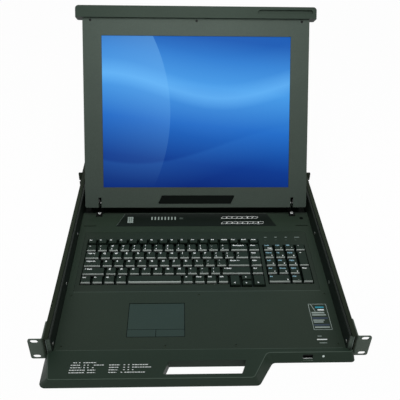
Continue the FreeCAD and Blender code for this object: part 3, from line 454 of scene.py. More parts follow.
def screwHead(shape, place, normal, radius, height, spin):
    # pan head with a crossed recess, drawn flat in a second finish that is mostly dark: painted shade in the
    # recess
    turn = Vector((0, 0, 1)).rotation_difference(Vector(normal)).to_matrix() @ Matrix.Rotation(spin, 3, "Z")
    profile = [(radius * out, height * up) for out, up in screwLook["profile"]]
    turned(shape, place, turn, profile, screwLook["sides"])
    reach = radius * screwLook["crossLength"]
    half = radius * screwLook["crossWidth"]
    lift = height + screwLook["crossLift"]
    for wide, tall in ((reach, half), (half, reach)):
        corners = [(-wide, -tall), (wide, -tall), (wide, tall), (-wide, tall)]
        flat(shape, [place + turn @ Vector((x, y, lift)) for x, y in corners], 1)


# the recess finish is black by default, painted shade in the cross recess
def screwSet(name, look, places, normal, finishName, body, recess="black"):
    shape = bmesh.new()
    for number, place in enumerate(places):
        spin = screwLook["spin"] + number * screwLook["spinStep"]
        screwHead(shape, Vector(place), normal, look["radius"], look["height"], spin)
    return makePiece(name, shape, [finishName, recess], body)


# four screws along the deck's front edge, three in a row in front of the keyboard
deckLow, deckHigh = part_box("deck_cover")
deckTop = deckHigh.z
deckScrews = {"side": 10.0 * mm, "front": 7.0 * mm, "middle": 51.0 * mm, "rear": 106.4 * mm,
              "radius": 2.8 * mm, "height": 0.6 * mm}
rowFront = deckLow.y + deckScrews["front"]
rowRear = deckLow.y + deckScrews["rear"]
deckSide = deckHigh.x - deckScrews["side"]
frontScrews = (-deckSide, -deckScrews["middle"], deckScrews["middle"], deckSide)
places = [(x, rowFront, deckTop) for x in frontScrews]
places += [(x, rowRear, deckTop) for x in (-deckSide, 0.0, deckSide)]
screwSet("deckScrews", deckScrews, places, (0, 0, 1), "deck", "drawer", "rail")

deckPlug = {"side": 13.7 * mm, "rear": 18.0 * mm, "radius": 3.4 * mm, "height": 0.6 * mm}
places = [(deckHigh.x - deckPlug["side"], deckHigh.y - deckPlug["rear"], deckTop)]
screwSet("deckPlug", deckPlug, places, (0, 0, 1), "black", "drawer")

sideScrews = {"rows": (9.5 * mm, 128.0 * mm, 250.0 * mm), "deckGap": 0.5 * mm, "radius": 2.8 * mm,
              "height": 0.45 * mm}
for label, side in sides:
    places = [(side * (deckHigh.x + sideScrews["deckGap"]), y, 0.0) for y in sideScrews["rows"]]
    screwSet("sideScrews" + label, sideScrews, places, (-side, 0, 0), "zinc", "drawer")

# ears at the front and brackets at the rear, on the outside of the rails
railScrews = {"front": (9.0 * mm, 28.0 * mm), "rear": (430.0 * mm, 479.0 * mm), "earSheet": 2.5 * mm,
              "bracketSheet": 2.0 * mm, "radius": 3.6 * mm, "height": 1.6 * mm}
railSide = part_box("rail_right")[1].x
for label, side in sides:
    places = [(side * (railSide + railScrews["earSheet"]), y, 0.0) for y in railScrews["front"]]
    places += [(side * (railSide + railScrews["bracketSheet"]), y, 0.0) for y in railScrews["rear"]]
    screwSet("railScrews" + label, railScrews, places, (side, 0, 0), "zinc", "rack_frame")

bezelScrews = {"side": 14.0 * mm, "top": 3.8 * mm, "radius": 2.3 * mm, "height": 0.35 * mm}
bezelSide = bezelHigh.x - bezelScrews["side"]
places = [onPanel(x, panelTall - bezelScrews["top"]) for x in (-bezelSide, 0.0, bezelSide)]
screwSet("bezelScrews", bezelScrews, places, panelOut, "blackSteelAndSocketShade", "display")

# silver screws at the hinge feet, near-white as a painted glint
hingeScrews = {"tab": 6.5 * mm, "rear": 4.0 * mm, "sheet": 1.5 * mm, "radius": 2.8 * mm, "height": 1.0 * mm}
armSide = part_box("hinge_arm_right")[1].x
places = [(side * (armSide - hingeScrews["tab"]), deckHigh.y - hingeScrews["rear"],
           deckTop + hingeScrews["sheet"]) for label, side in sides]
screwSet("hingeScrews", hingeScrews, places, (0, 0, 1), "pin", "drawer")

# on the front face of each hinge arm, below its eye: near-white rivets that carry a painted glint
hingeGlintRivets = {"below": 2.2 * mm, "across": 175.5 * mm, "eye": 4.3 * mm, "radius": 1.7 * mm,
               "height": 0.6 * mm}
pinLow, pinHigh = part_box("hinge_pins")
places = [(side * hingeGlintRivets["across"], (pinLow.y + pinHigh.y) / 2 - hingeGlintRivets["eye"],
           (pinLow.z + pinHigh.z) / 2 - hingeGlintRivets["below"]) for label, side in sides]
screwSet("hingeGlintRivets", hingeGlintRivets, places, (0, -1, 0), "pin", "drawer", "pin")

coverScrews = {"rear": 6.0 * mm, "side": 10.0 * mm, "count": 5, "radius": 2.6 * mm, "height": 0.9 * mm}
coverLow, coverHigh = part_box("rear_cover")
pitch = (coverHigh.x - coverLow.x - 2 * coverScrews["side"]) / (coverScrews["count"] - 1)
places = [(coverLow.x + coverScrews["side"] + pitch * number, coverHigh.y - coverScrews["rear"], coverHigh.z)
          for number in range(coverScrews["count"])]
screwSet("coverScrews", coverScrews, places, (0, 0, 1), "zinc", "drawer")

# down both sides of the display's back
shellScrews = {"side": 9.0 * mm, "low": 34.0 * mm, "top": 26.0 * mm, "rows": 3, "radius": 2.4 * mm,
               "height": 0.5 * mm}
pitch = (panelTall - shellScrews["low"] - shellScrews["top"]) / (shellScrews["rows"] - 1)
places = [onPanel(side * (shellHigh.x - shellScrews["side"]), shellScrews["low"] + pitch * row,
                  bezelLow.z - shellHigh.z) for label, side in sides for row in range(shellScrews["rows"])]
screwSet("shellScrews", shellScrews, places, -panelOut, "blackSteelAndSocketShade", "display")
print("screws made")

portLook = {"count": 8, "body": 30.8 * mm, "half": 7.6 * mm, "slant": 1.3 * mm, "tall": 3.3 * mm,
            "sunk": 0.95 * mm, "rows": (-1, 0, 1), "columns": (-2, -1, 0, 1, 2), "shift": 0.25,
            "contact": 0.55 * mm, "lift": 0.04 * mm, "pitch": 2.3 * mm, "rowPitch": 1.9 * mm,
            "nut": 12.2 * mm, "nutBehind": 1.28 * mm, "bore": 1.4 * mm, "roundness": 12}


def disc(shape, x, y, z, radius, index):
    # round spot that faces the rear
    angles = [math.tau * step / portLook["roundness"] for step in range(portLook["roundness"])]
    flat(shape, [(x + radius * math.cos(angle), y, z + radius * math.sin(angle)) for angle in angles], index)


def portFaces():
    # the dark face of each video socket, its contacts, and painted shade in the bores of its two nuts
    look = portLook
    low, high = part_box("port_connectors")
    shape = bmesh.new()
    y = high.y - look["sunk"]
    z = (low.z + high.z) / 2
    pitch = (high.x - low.x - look["body"]) / (look["count"] - 1)
    wide = look["half"]
    narrow = look["half"] - look["slant"]
    for number in range(look["count"]):
        x = low.x + look["body"] / 2 + number * pitch
        flat(shape, [(x - wide, y, z + look["tall"]), (x + wide, y, z + look["tall"]),
                     (x + narrow, y, z - look["tall"]), (x - narrow, y, z - look["tall"])])
        for row in look["rows"]:
            for column in look["columns"]:
                across = (column + row * look["shift"]) * look["pitch"]
                disc(shape, x + across, y + look["lift"], z + row * look["rowPitch"], look["contact"], 1)
        for label, side in sides:
            disc(shape, x + side * look["nut"], high.y - look["nutBehind"], z, look["bore"], 0)
    makePiece("portFaces", shape, ["black", "zinc"], "drawer")


inletLook = {"blades": ((-1, -1), (0, 1), (1, -1)), "pitch": 7.0 * mm, "drop": 2.0 * mm, "reach": 12.0 * mm,
             "deep": 8.0 * mm, "wide": 2.0 * mm, "tall": 4.0 * mm, "lift": 0.04 * mm}


def inletContacts():
    # skins over the three blades of the power inlet, near-white as a painted glint
    look = inletLook
    low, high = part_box("power_inlet")
    shape = bmesh.new()
    tip = low.y + look["reach"] + look["lift"]
    wide = look["wide"] / 2 + look["lift"]
    tall = look["tall"] / 2 + look["lift"]
    corners = [(-wide, -tall), (wide, -tall), (wide, tall), (-wide, tall)]
    for column, row in look["blades"]:
        x = (low.x + high.x) / 2 + column * look["pitch"]
        z = (low.z + high.z) / 2 + row * look["drop"]
        flat(shape, [(x + across, tip, z + up) for across, up in corners])
        for (x0, z0), (x1, z1) in zip(corners, corners[1:] + corners[:1]):
            flat(shape, [(x + x0, tip, z + z0), (x + x1, tip, z + z1),
                         (x + x1, tip - look["deep"], z + z1), (x + x0, tip - look["deep"], z + z0)])
    makePiece("inletContacts", shape, ["pin"], "drawer")


portFaces()
inletContacts()
print("rear sockets made")

# rim: inset and drop of each ring from the edge of a key's top to its dished middle
# skirts: how many rings of faces may take the painted highlight, and how far back from the key's front edge
keyLook = {"skirtCorner": 0.5 * mm, "shoulderCorner": 1.2 * mm, "topCorner": 1.5 * mm, "cornerSteps": 3,
           "edge": 0.45 * mm,
           "rim": ((0.15 * mm, 0.14 * mm), (0.5 * mm, 0.0), (1.2 * mm, 0.056 * mm), (2.4 * mm, 0.16 * mm)),
           "keySkirtHighlight": (2, 1.9 * mm), "spaceSkirtHighlight": (3, 3.2 * mm), "spaceFrom": 60.0 * mm,
           "skirtsWithoutHighlight": ("keys_function_row", "keys_arrows"), "join": 0.001 * mm, "sameLevel": 0.02 * mm}


def looseParts(shape):
    # vertices of each separate solid
    left = set(shape.verts)
    while left:
        group = {left.pop()}
        waiting = list(group)
        while waiting:
            for link in waiting.pop().link_edges:
                for other in link.verts:
                    if other not in group:
                        group.add(other)
                        waiting.append(other)
        left -= group
        yield [vertex.co.copy() for vertex in group]


def keySolids(node):
    # each key of a node as two rectangles: its foot and its top
    shape = bmesh.new()
    shape.from_mesh(nodes[node].data)
    bmesh.ops.remove_doubles(shape, verts=shape.verts, dist=keyLook["join"])
    keys = []
    for places in looseParts(shape):
        rectangles = []
        for height in sorted({round(place.z, 5) for place in places})[-2:]:
            there = [place for place in places if abs(place.z - height) < keyLook["sameLevel"]]
            rectangles.append((min(place.x for place in there), max(place.x for place in there),
                               min(place.y for place in there), max(place.y for place in there), height))
        keys.append(rectangles)
    shape.free()
    # rows from the front to the rear, each from left to right
    return sorted(keys, key=lambda key: (round(key[0][2], 3), key[0][0]))


def roundLoop(x0, x1, y0, y1, z, radius):
    # level rectangle with rounded corners
    corners = ((x1, y1, 0), (x0, y1, 90), (x0, y0, 180), (x1, y0, 270))
    steps = keyLook["cornerSteps"]
    loop = []
    for x, y, start in corners:
        centreX = x - radius if x == x1 else x + radius
        centreY = y - radius if y == y1 else y + radius
        for step in range(steps + 1):
            turn = math.radians(start + 90 * step / steps)
            loop.append(Vector((centreX + radius * math.cos(turn), centreY + radius * math.sin(turn), z)))
    return loop


def keyCap(shape, foot, top, paintSkirtHighlight):
    # tapered cap with a rounded shoulder and a dished top, its front skirt painted light as a highlight
    # where asked
    share = 1 - keyLook["edge"] / (top[4] - foot[4])
    shoulder = [foot[axis] + (top[axis] - foot[axis]) * share for axis in range(4)]
    x0, x1, y0, y1, z = top
    loops = [roundLoop(*foot, keyLook["skirtCorner"]),
             roundLoop(*shoulder, z - keyLook["edge"], keyLook["shoulderCorner"])]
    for inset, drop in keyLook["rim"]:
        loops.append(roundLoop(x0 + inset, x1 - inset, y0 + inset, y1 - inset, z - drop,
                               keyLook["topCorner"]))
    faces = joinLoops(shape, loops)
    rings, reach = keyLook["spaceSkirtHighlight" if foot[1] - foot[0] > keyLook["spaceFrom"] else "keySkirtHighlight"]
    for face in faces[:rings * len(loops[0])]:
        if paintSkirtHighlight and face.calc_center_median().y < foot[2] + reach:
            face.material_index = 1


wordLook = {"resolution": 2, "weight": 0.052}
words = {}


def wordMesh(text):
    # flat mesh of a short word, one unit high, heavy enough to read from afar
    if text not in words:
        curve = bpy.data.curves.new("word", "FONT")
        curve.body = text
        curve.resolution_u = wordLook["resolution"]
        curve.offset = wordLook["weight"]
        carrier = bpy.data.objects.new("word", curve)
        words[text] = bpy.data.meshes.new_from_object(carrier)
        bpy.data.objects.remove(carrier)
        bpy.data.curves.remove(curve)
    return words[text]


def write(shape, text, place, size, index=0, stretch=1.0):
    firstVertex = len(shape.verts)
    firstFace = len(shape.faces)
    shape.from_mesh(wordMesh(text))
    shape.verts.ensure_lookup_table()
    shape.faces.ensure_lookup_table()
    for vertex in shape.verts[firstVertex:]:
        vertex.co = Vector(place) + Vector((vertex.co.x * size * stretch, vertex.co.y * size, 0))
    for face in shape.faces[firstFace:]:
        face.material_index = index


legendLook = {"size": 4.7 * mm, "pairSize": 3.76 * mm, "left": 2.9 * mm, "rear": 5.0 * mm,
              "shiftedRear": 4.6 * mm, "front": 1.9 * mm, "lift": 0.02 * mm,
              "word": {"size": 3.4 * mm, "left": 1.5 * mm, "rear": 4.4 * mm, "longKey": 20.0 * mm,
                       "stretch": 1.35},
              "arrow": {"left": 4.64 * mm, "front": 1.6 * mm},
              "pad": {"size": 3.5 * mm, "stretch": 1.12, "left": 1.0 * mm, "rear": 4.5 * mm,
                      "room": 4.0 * mm, "wordRoom": 8.0 * mm}}
legends = {
    "keys_function_row": ["Esc", "F1", "F2", "F3", "F4", "F5", "F6", "F7", "F8", "F9", "F10", "F11", "F12",
                          "NumLk", "Print", "Scroll", "Pause"],
    "keys_number_row": ["~", "1", "2", "3", "4", "5", "6", "7", "8", "9", "0", "-", "=", "Home"],
    "keys_upper_row": ["Tab >|", "Q", "W", "E", "R", "T", "Y", "U", "I", "O", "P", "[", "]", "\\", "PgUp"],
    "keys_home_row": ["Caps Lk", "A", "S", "D", "F", "G", "H", "J", "K", "L", ";", "'", "PgDn"],
    "keys_lower_row": ["Z", "X", "C", "V", "B", "N", "M", ",", ".", "/", "End"],
    "keys_control_row": ["Ctrl", "Fn", "Alt", "<", ">", "Menu", "Ctrl", "Shift"],
    "keys_arrows": ["<", "v", "^", ">"],
    "keys_number_pad": [".", "1", "2", "3", "4", "5", "6", "7", "8", "9", "Num", "/", "*", "-"],
    "key_space": [""],
    "key_enter": ["Enter <-"],
    "key_backspace": ["Backspace"],
    "key_shift_left": ["^ Shift"],
    "key_shift_right": ["^ Shift"],
    "pad_key_plus": ["+"],
    "pad_key_enter": ["Enter"],
    "pad_key_zero": ["0"],
}
shifted = {"1": "!", "2": "@", "3": "#", "4": "$", "5": "%", "6": "^", "7": "&", "8": "*", "9": "(",
           "0": ")", "-": "_", "=": "+", ";": ":", "'": '"', ",": "<", ".": ">", "/": "?", "[": "{",
           "]": "}", "\\": "|"}
padWords = {"1": "End", "2": "Down", "3": "PgDn", "4": "Left", "5": "Mid", "6": "Right", "7": "Home",
            "8": "Up", "9": "PgUp", "0": "Ins", ".": "Del", "Num": "Lock", "/": "Calc", "*": "Mul"}


def keyLegend(shape, node, text, top):
    look = legendLook
    x0, x1, y0, y1, z = top
    z += look["lift"]
    x = x0 + look["left"]
    onPad = node in ("keys_number_pad", "pad_key_zero")
    if not text:
        return
    if node == "keys_arrows":
        write(shape, text, (x0 + look["arrow"]["left"], y0 + look["arrow"]["front"], z), look["size"])
    elif onPad and text in padWords:
        pad = look["pad"]
        write(shape, padWords[text], (x0 + pad["left"], y1 - pad["rear"], z), pad["size"], 1, pad["stretch"])
        room = pad["room" if len(text) == 1 else "wordRoom"]
        write(shape, text, (x1 - room, y0 + look["front"], z), look["pairSize"])
    elif len(text) > 1:
        word = look["word"]
        stretch = word["stretch"] if x1 - x0 > word["longKey"] else 1.0
        place = (x0 + word["left"] * stretch ** 2, y1 - word["rear"], z)
        write(shape, text, place, word["size"], 0, stretch)
    elif text in shifted and not onPad:
        write(shape, shifted[text], (x, y1 - look["shiftedRear"], z), look["pairSize"])
        write(shape, text, (x, y0 + look["front"], z), look["pairSize"])
    else:
        write(shape, text, (x, y1 - look["rear"], z), look["size"])


for node, texts in legends.items():
    shape = bmesh.new()
    printing = bmesh.new()
    keys = keySolids(node)
    if node == "keys_arrows":
        keys = sorted(keys, key=lambda key: (round(key[0][0], 3), key[0][2]))
    for (foot, top), text in zip(keys, texts):
        # most rows get the painted skirt highlight, the function row and the arrows do not
        keyCap(shape, foot, top, node not in keyLook["skirtsWithoutHighlight"])
        keyLegend(printing, node, text, top)
    caps = makePiece("caps_" + node, shape, ["keyTop", "keySkirtHighlight"], node, smooth=True)
    caps.modifiers.new("normals", "WEIGHTED_NORMAL")
    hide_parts(node)
    if any(texts):
        makePiece("legends_" + node, printing, ["white", "blue"], node)
print("keys made")

# rows: number of keys, left end, and distance behind the strip's front edge
stripLook = {"lift": 0.03 * mm, "topShare": 131.5 / 146, "edgeInset": 0.9 * mm, "endInset": 0.8 * mm,
             "edgeWidth": 0.5 * mm, "rows": ((7, 46.0 * mm, 21.5 * mm), (8, 45.5 * mm, 6.2 * mm)),
             "keyWide": 8.6 * mm, "keyPitch": 9.6 * mm, "keyDeep": 5.4 * mm, "slant": 2.6 * mm,
             "line": 0.62 * mm, "cells": 3, "cellGap": 0.7 * mm, "gridWide": 10.0 * mm,
             "gridDeep": 17.0 * mm, "gridLeft": 20.0 * mm, "gridFront": 9.5 * mm, "markGap": 7.0 * mm,
             "markWide": 6.4 * mm, "markThick": 1.1 * mm, "marks": (-1.3 * mm, 1.3 * mm)}


def stripPrint():
    # edge line, key outlines, a small grid at the left and two marks beside the lamps
    look = stripLook
    low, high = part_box("control_strip")
    shape = bmesh.new()
    z = high.z + look["lift"]
    half = high.x * look["topShare"]
    y = high.y - look["edgeInset"]
    end = (low.x + look["endInset"], low.y + look["endInset"], z)
    stroke(shape, (-half, y, z), (half, y, z), look["edgeWidth"], 2)
    stroke(shape, (-half, y, z), end, look["edgeWidth"], 2)
    for number, left, front in look["rows"]:
        y0 = low.y + front
        y1 = y0 + look["keyDeep"]
        for index in range(number):
            x0 = left + index * look["keyPitch"]
            x1 = x0 + look["keyWide"]
            rear0, rear1 = x0 + look["slant"], x1 + look["slant"]
            outline(shape, [(x0, y0, z), (x1, y0, z), (rear1, y1, z), (rear0, y1, z)], look["line"])
    gap = look["cellGap"]
    wide = (look["gridWide"] - gap * (look["cells"] - 1)) / look["cells"]
    deep = (look["gridDeep"] - gap * (look["cells"] - 1)) / look["cells"]
    for column in range(look["cells"]):
        for row in range(look["cells"]):
            x = low.x + look["gridLeft"] + column * (wide + gap)
            y = low.y + look["gridFront"] + row * (deep + gap)
            flat(shape, [(x, y, z), (x + wide, y, z), (x + wide, y + deep, z), (x, y + deep, z)], 1)
    lampLow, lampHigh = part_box("port_lamps")
    x = lampHigh.x + look["markGap"]
    for offset in look["marks"]:
        y = (lampLow.y + lampHigh.y) / 2 + offset
        stroke(shape, (x, y, z), (x + look["markWide"], y, z), look["markThick"], 2)
    makePiece("stripPrint", shape, ["white", "pale", "faint"], "drawer")


# the last ink paints highlights along edges
deckInks = ["white", "pale", "faint", "teal", "navy", "black", "paintedHighlight"]
inkNumber = {name: number for number, name in enumerate(deckInks)}
printHeight = deckTop + 0.02 * mm
seamHighlightLook = {"side": 4.0 * mm, "behind": 0.3 * mm, "width": 0.5 * mm, "frameSearch": 0.1 * mm,
            "frameGap": 0.25 * mm, "frameWidth": 0.7 * mm}


def seamHighlights(shape):
    # painted highlights along the front edges of the deck sheet and of the keyboard frame
    z = printHeight
    y = deckLow.y + seamHighlightLook["behind"]
    stroke(shape, (deckLow.x + seamHighlightLook["side"], y, z), (deckHigh.x - seamHighlightLook["side"], y, z),
           seamHighlightLook["width"], inkNumber["paintedHighlight"])
    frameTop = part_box("keyboard_frame")[1].z - seamHighlightLook["frameSearch"]
    edge = [vertex.co for vertex in nodes["keyboard_frame"].data.vertices if vertex.co.z > frameTop]
    y = min(place.y for place in edge) - seamHighlightLook["frameGap"]
    stroke(shape, (min(place.x for place in edge), y, z), (max(place.x for place in edge), y, z),
           seamHighlightLook["frameWidth"], inkNumber["paintedHighlight"])


# words: left end and length of each bar behind the number pad
lampPrint = {"words": ((119.6 * mm, 4.4 * mm), (138.0 * mm, 4.0 * mm), (156.4 * mm, 4.0 * mm),
                       (173.4 * mm, 9.0 * mm)),
             "y": 247.0 * mm, "thick": 1.3 * mm, "below": 7.4 * mm, "dotFrom": -0.4 * mm, "dotTo": 2.6 * mm,
             "dotThick": 0.6 * mm}


def lampWords(shape):
    look = lampPrint
    z = printHeight
    for x, wide in look["words"]:
        stroke(shape, (x, look["y"], z), (x + wide, look["y"], z), look["thick"], inkNumber["pale"])
        y = look["y"] - look["below"]
        stroke(shape, (x + look["dotFrom"], y, z), (x + look["dotTo"], y, z), look["dotThick"],
               inkNumber["faint"])


touchLook = {"margin": 0.3 * mm, "rim": 0.8 * mm, "lift": 0.04 * mm, "seamBehind": 0.15 * mm,
             "seam": 0.4 * mm, "split": 0.8 * mm}


def touchLines(shape):
    # painted shade in the gap round the touchpad, and in the gaps of its two buttons
    look = touchLook
    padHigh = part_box("touchpad")[1]
    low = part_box("touch_button_left")[0]
    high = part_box("touch_button_right")[1]
    x0 = low.x - look["margin"]
    x1 = high.x + look["margin"]
    y0 = low.y - look["margin"]
    y1 = padHigh.y - (padHigh.x - high.x) + look["margin"]
    z = printHeight
    outline(shape, [(x0, y0, z), (x1, y0, z), (x1, y1, z), (x0, y1, z)], look["rim"], inkNumber["black"])
    z = padHigh.z + look["lift"]
    y = high.y + look["seamBehind"]
    x = (low.x + high.x) / 2
    stroke(shape, (low.x, y, z), (high.x, y, z), look["seam"], inkNumber["black"])
    stroke(shape, (x, low.y, z), (x, y, z), look["split"], inkNumber["black"])


# bars: middle and thickness as shares of the label's depth, ends as shares of its width, ink
# dash: the slanting mark over the two bars of the heading, from (x, share of depth) to the same
labelLook = {"right": 196.7 * mm, "wide": 27.3 * mm, "front": 36.6 * mm, "deep": 50.6 * mm,
             "line": 0.8 * mm,
             "bars": ((0.87, 0.055, 0.36, 0.84, "teal"), (0.765, 0.05, 0.46, 0.82, "white"),
                      (0.655, 0.06, 0.08, 0.80, "pale"), (0.565, 0.05, 0.08, 0.86, "pale"),
                      (0.44, 0.06, 0.06, 0.92, "navy"), (0.36, 0.045, 0.08, 0.70, "pale"),
                      (0.29, 0.045, 0.08, 0.62, "pale"), (0.18, 0.06, 0.06, 0.92, "navy"),
                      (0.09, 0.05, 0.08, 0.90, "pale")),
             "dash": ((3.4 * mm, 1.0), (8.6 * mm, 0.7)), "dashWidth": 1.0 * mm}


def labelPrint(shape):
    # plain generic label: an outline, bars and a slanting dash
    look = labelLook
    z = printHeight
    wide, deep = look["wide"], look["deep"]
    x1 = look["right"]
    x0 = x1 - wide
    y0 = look["front"]
    y1 = y0 + deep
    outline(shape, [(x0, y0, z), (x1, y0, z), (x1, y1, z), (x0, y1, z)], look["line"], inkNumber["pale"])
    for up, tall, left, right, inkName in look["bars"]:
        y = y0 + deep * up
        stroke(shape, (x0 + wide * left, y, z), (x0 + wide * right, y, z), deep * tall, inkNumber[inkName])
    start, end = [(x0 + across, y0 + deep * up, z) for across, up in look["dash"]]
    stroke(shape, start, end, look["dashWidth"], inkNumber["pale"])


# bars: left and right end from the middle, thickness, ink
smallLook = {"middle": 179.05 * mm, "rear": 24.5 * mm, "pitch": 6.2 * mm,
             "bars": ((-7.0 * mm, -1.0 * mm, 1.2 * mm, "pale"), (-9.0 * mm, 6.0 * mm, 1.9 * mm, "white"),
                      (-6.5 * mm, 4.5 * mm, 1.1 * mm, "pale"))}


def smallPrint(shape):
    # three short generic bars in front of the label
    for row, (left, right, thick, inkName) in enumerate(smallLook["bars"]):
        y = smallLook["rear"] - row * smallLook["pitch"]
        stroke(shape, (smallLook["middle"] + left, y, printHeight),
               (smallLook["middle"] + right, y, printHeight), thick, inkNumber[inkName])


# columns: left end, then for each line its number from the rear and its runs' ends, in millimetres
handleText = {"front": 18.2 * mm, "pitch": 4.1 * mm, "lift": 0.02 * mm, "tall": 1.2 * mm, "space": 0.75 * mm,
              "words": (2.6 * mm, 3.9 * mm, 1.7 * mm, 3.1 * mm), "shortest": 0.2 * mm,
              "columns": (
                  (-181.0, ((0, (3, 8), (11, 13), (17, 35)), (1, (0, 13), (18, 20), (23, 25), (32, 46)),
                            (2, (0, 15), (18, 20), (23, 25), (30, 32)), (3, (-1, 21), (24, 35)),
                            (4, (-1, 20), (24, 35)))),
                  (-128.0, ((1, (0, 15), (20, 22), (26, 28), (32, 54)),
                            (2, (0, 13), (20, 22), (26, 28), (32, 58)),
                            (3, (0, 12), (20, 22), (26, 28), (32, 34)),
                            (4, (0, 11), (17, 19), (22, 50)))))}


def wordRun(shape, x0, x1, y, z):
    # one run of print as word-long dashes
    x = x0
    number = 0
    while x < x1 - handleText["shortest"]:
        end = min(x1, x + handleText["words"][number % len(handleText["words"])])
        stroke(shape, (x, y, z), (end, y, z), handleText["tall"])
        x = end + handleText["space"]
        number += 1


def handlePrint():
    shape = bmesh.new()
    z = handleHigh.z + handleText["lift"]
    for left, lines in handleText["columns"]:
        for line, *runs in lines:
            y = -handleText["front"] - line * handleText["pitch"]
            for start, end in runs:
                wordRun(shape, (left + start) * mm, (left + end) * mm, y, z)
    makePiece("handlePrint", shape, ["white"], "drawer")


handleLow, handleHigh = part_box("front_handle")
stripPrint()
deckShape = bmesh.new()
for area in (seamHighlights, lampWords, touchLines, labelPrint, smallPrint):
    area(deckShape)
makePiece("deckPrint", deckShape, deckInks, "drawer")
handlePrint()
print("print made")

creaseHighlightLook = {"width": 0.55 * mm, "lift": 0.02 * mm, "join": 0.001 * mm, "flatFrom": 0.99,
              "slope": (0.2, 0.985)}


def paintCreaseHighlight(node, body):
    # painted highlight along the upper edge of a moulding, where its flat top meets its slopes
    solid = bmesh.new()
    solid.from_mesh(nodes[node].data)
    bmesh.ops.remove_doubles(solid, verts=solid.verts, dist=creaseHighlightLook["join"])
    bmesh.ops.recalc_face_normals(solid, faces=solid.faces)
    steep, shallow = creaseHighlightLook["slope"]
    shape = bmesh.new()
    for edge in solid.edges:
        if len(edge.link_faces) != 2:
            continue
        level, slope = sorted(edge.link_faces, key=lambda face: -face.normal.z)
        if level.normal.z < creaseHighlightLook["flatFrom"] or not steep < slope.normal.z < shallow:
            continue
        first, second = [vertex.co.copy() for vertex in edge.verts]
        along = (second - first).normalized()
        for face in (level, slope):
            inward = face.normal.cross(along)
            if inward.dot(face.calc_center_median() - first) < 0:
                inward = -inward
            up = face.normal * creaseHighlightLook["lift"]
            step = inward * creaseHighlightLook["width"]
            flat(shape, [first + up, second + up, second + step + up, first + step + up])
    solid.free()
    makePiece("creaseHighlight_" + node, shape, ["paintedHighlight"], body)


highlightEdgeLook = {"cap": 0.8 * mm, "lip": 0.8 * mm, "lift": 0.04 * mm}


def paintedEdgeHighlights():
    # painted highlights on the outer edges of the slide caps, and on the lip under the socket in the front
    # moulding
    shape = bmesh.new()
    for node, side in (("slide_cap_left", -1), ("slide_cap_right", 1)):
        low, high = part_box(node)
        x0 = low.x if side < 0 else high.x - highlightEdgeLook["cap"]
        x1 = x0 + highlightEdgeLook["cap"]
        y = low.y - highlightEdgeLook["lift"]
        flat(shape, [(x0, y, low.z), (x1, y, low.z), (x1, y, high.z), (x0, y, high.z)])
    low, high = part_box("usb_socket")
    ahead = 2 * (handleLow.y - handleHigh.y)
    lip = []
    for z in (low.z - highlightEdgeLook["lip"], low.z):
        hit, place = nodes["front_handle"].ray_cast(((low.x + high.x) / 2, ahead, z), (0, 1, 0))[:2]
        y = (place.y if hit else low.y) - highlightEdgeLook["lift"]
        lip += [(low.x, y, z), (high.x, y, z)]
    flat(shape, [lip[0], lip[1], lip[3], lip[2]], 1)
    makePiece("paintedEdgeHighlights", shape, ["pale", "white"], "drawer")


paintCreaseHighlight("front_handle", "drawer")
paintedEdgeHighlights()
print("edges made")

# ground, crest and sheen are ramps over a share of the screen's height
screenLook = {"wide": 337.9 * mm, "tall": 270.3 * mm, "bottom": 36.8 * mm, "rise": 0.5, "tilt": 0.07,
              "ground": ((0.0, tone(3, 38, 118)), (0.16, tone(7, 56, 142)), (0.42, tone(28, 104, 196)),
                         (0.68, tone(64, 150, 228)), (0.86, tone(44, 124, 208)), (1.0, tone(24, 92, 180))),
              "crest": {"height": 0.36, "bend": 2.4, "start": 0.9, "swing": 0.17,
                        "light": tone(108, 188, 252),
                        "greys": ((0.22, 0), (0.42, 90), (0.5, 205), (0.6, 96), (0.78, 0))},
              "sheen": {"height": -0.42, "bend": 1.7, "start": -0.5, "swing": -0.26,
                        "light": tone(60, 140, 226),
                        "greys": ((0.3, 0), (0.49, 96), (0.51, 28), (0.72, 0))},
              "veil": {"centre": 2.3, "squash": 0.7, "radius": 2.02, "from": 1.1, "share": 0.3,
                       "light": tone(128, 200, 255)},
              "unlit": tone(4, 8, 16), "rough": 0.5, "specular": 0.03, "strength": 1.0}


def asShare(value):
    # from -1 to 1, to 0 to 1
    return value * 0.5 + 0.5


def lightBand(finish, u, v, under, look):
    # a soft band of light along a wave
    band = v - look["height"] + finish.wave(u * look["bend"] + look["start"]) * look["swing"]
    stops = [(position, tone(grey, grey, grey)) for position, grey in look["greys"]]
    return finish.mix(finish.ramp(asShare(band), stops), under, look["light"])


def screenFinish():
    # a lit desktop: deep blue below, lighter above, two bands of light and a pale veil at the left
    look = screenLook
    finish = Finish("litScreen")
    middle = onPanel(0.0, look["bottom"] + look["tall"] / 2)
    u = (finish.along((1, 0, 0)) - middle.x) * (2 / look["wide"])
    v = (finish.along(panelUp) - middle.dot(panelUp)) * (2 / look["tall"])
    lit = finish.ramp(v * look["rise"] + u * look["tilt"] + 0.5, look["ground"])
    lit = lightBand(finish, u, v, lit, look["crest"])
    lit = lightBand(finish, u, v, lit, look["sheen"])
    veil = look["veil"]
    reach = ((u + veil["centre"]) ** 2.0 + v * v * veil["squash"]) ** 0.5
    cover = (reach < veil["radius"]) * (reach - veil["from"]) * asShare(v) * veil["share"]
    finish.set(Base_Color=look["unlit"], Roughness=look["rough"], Specular_IOR_Level=look["specular"],
               Emission_Strength=look["strength"], Emission_Color=finish.mix(cover, lit, veil["light"]))
    return finish.owner


dress("screen_panel", screenFinish())
print("screen made")

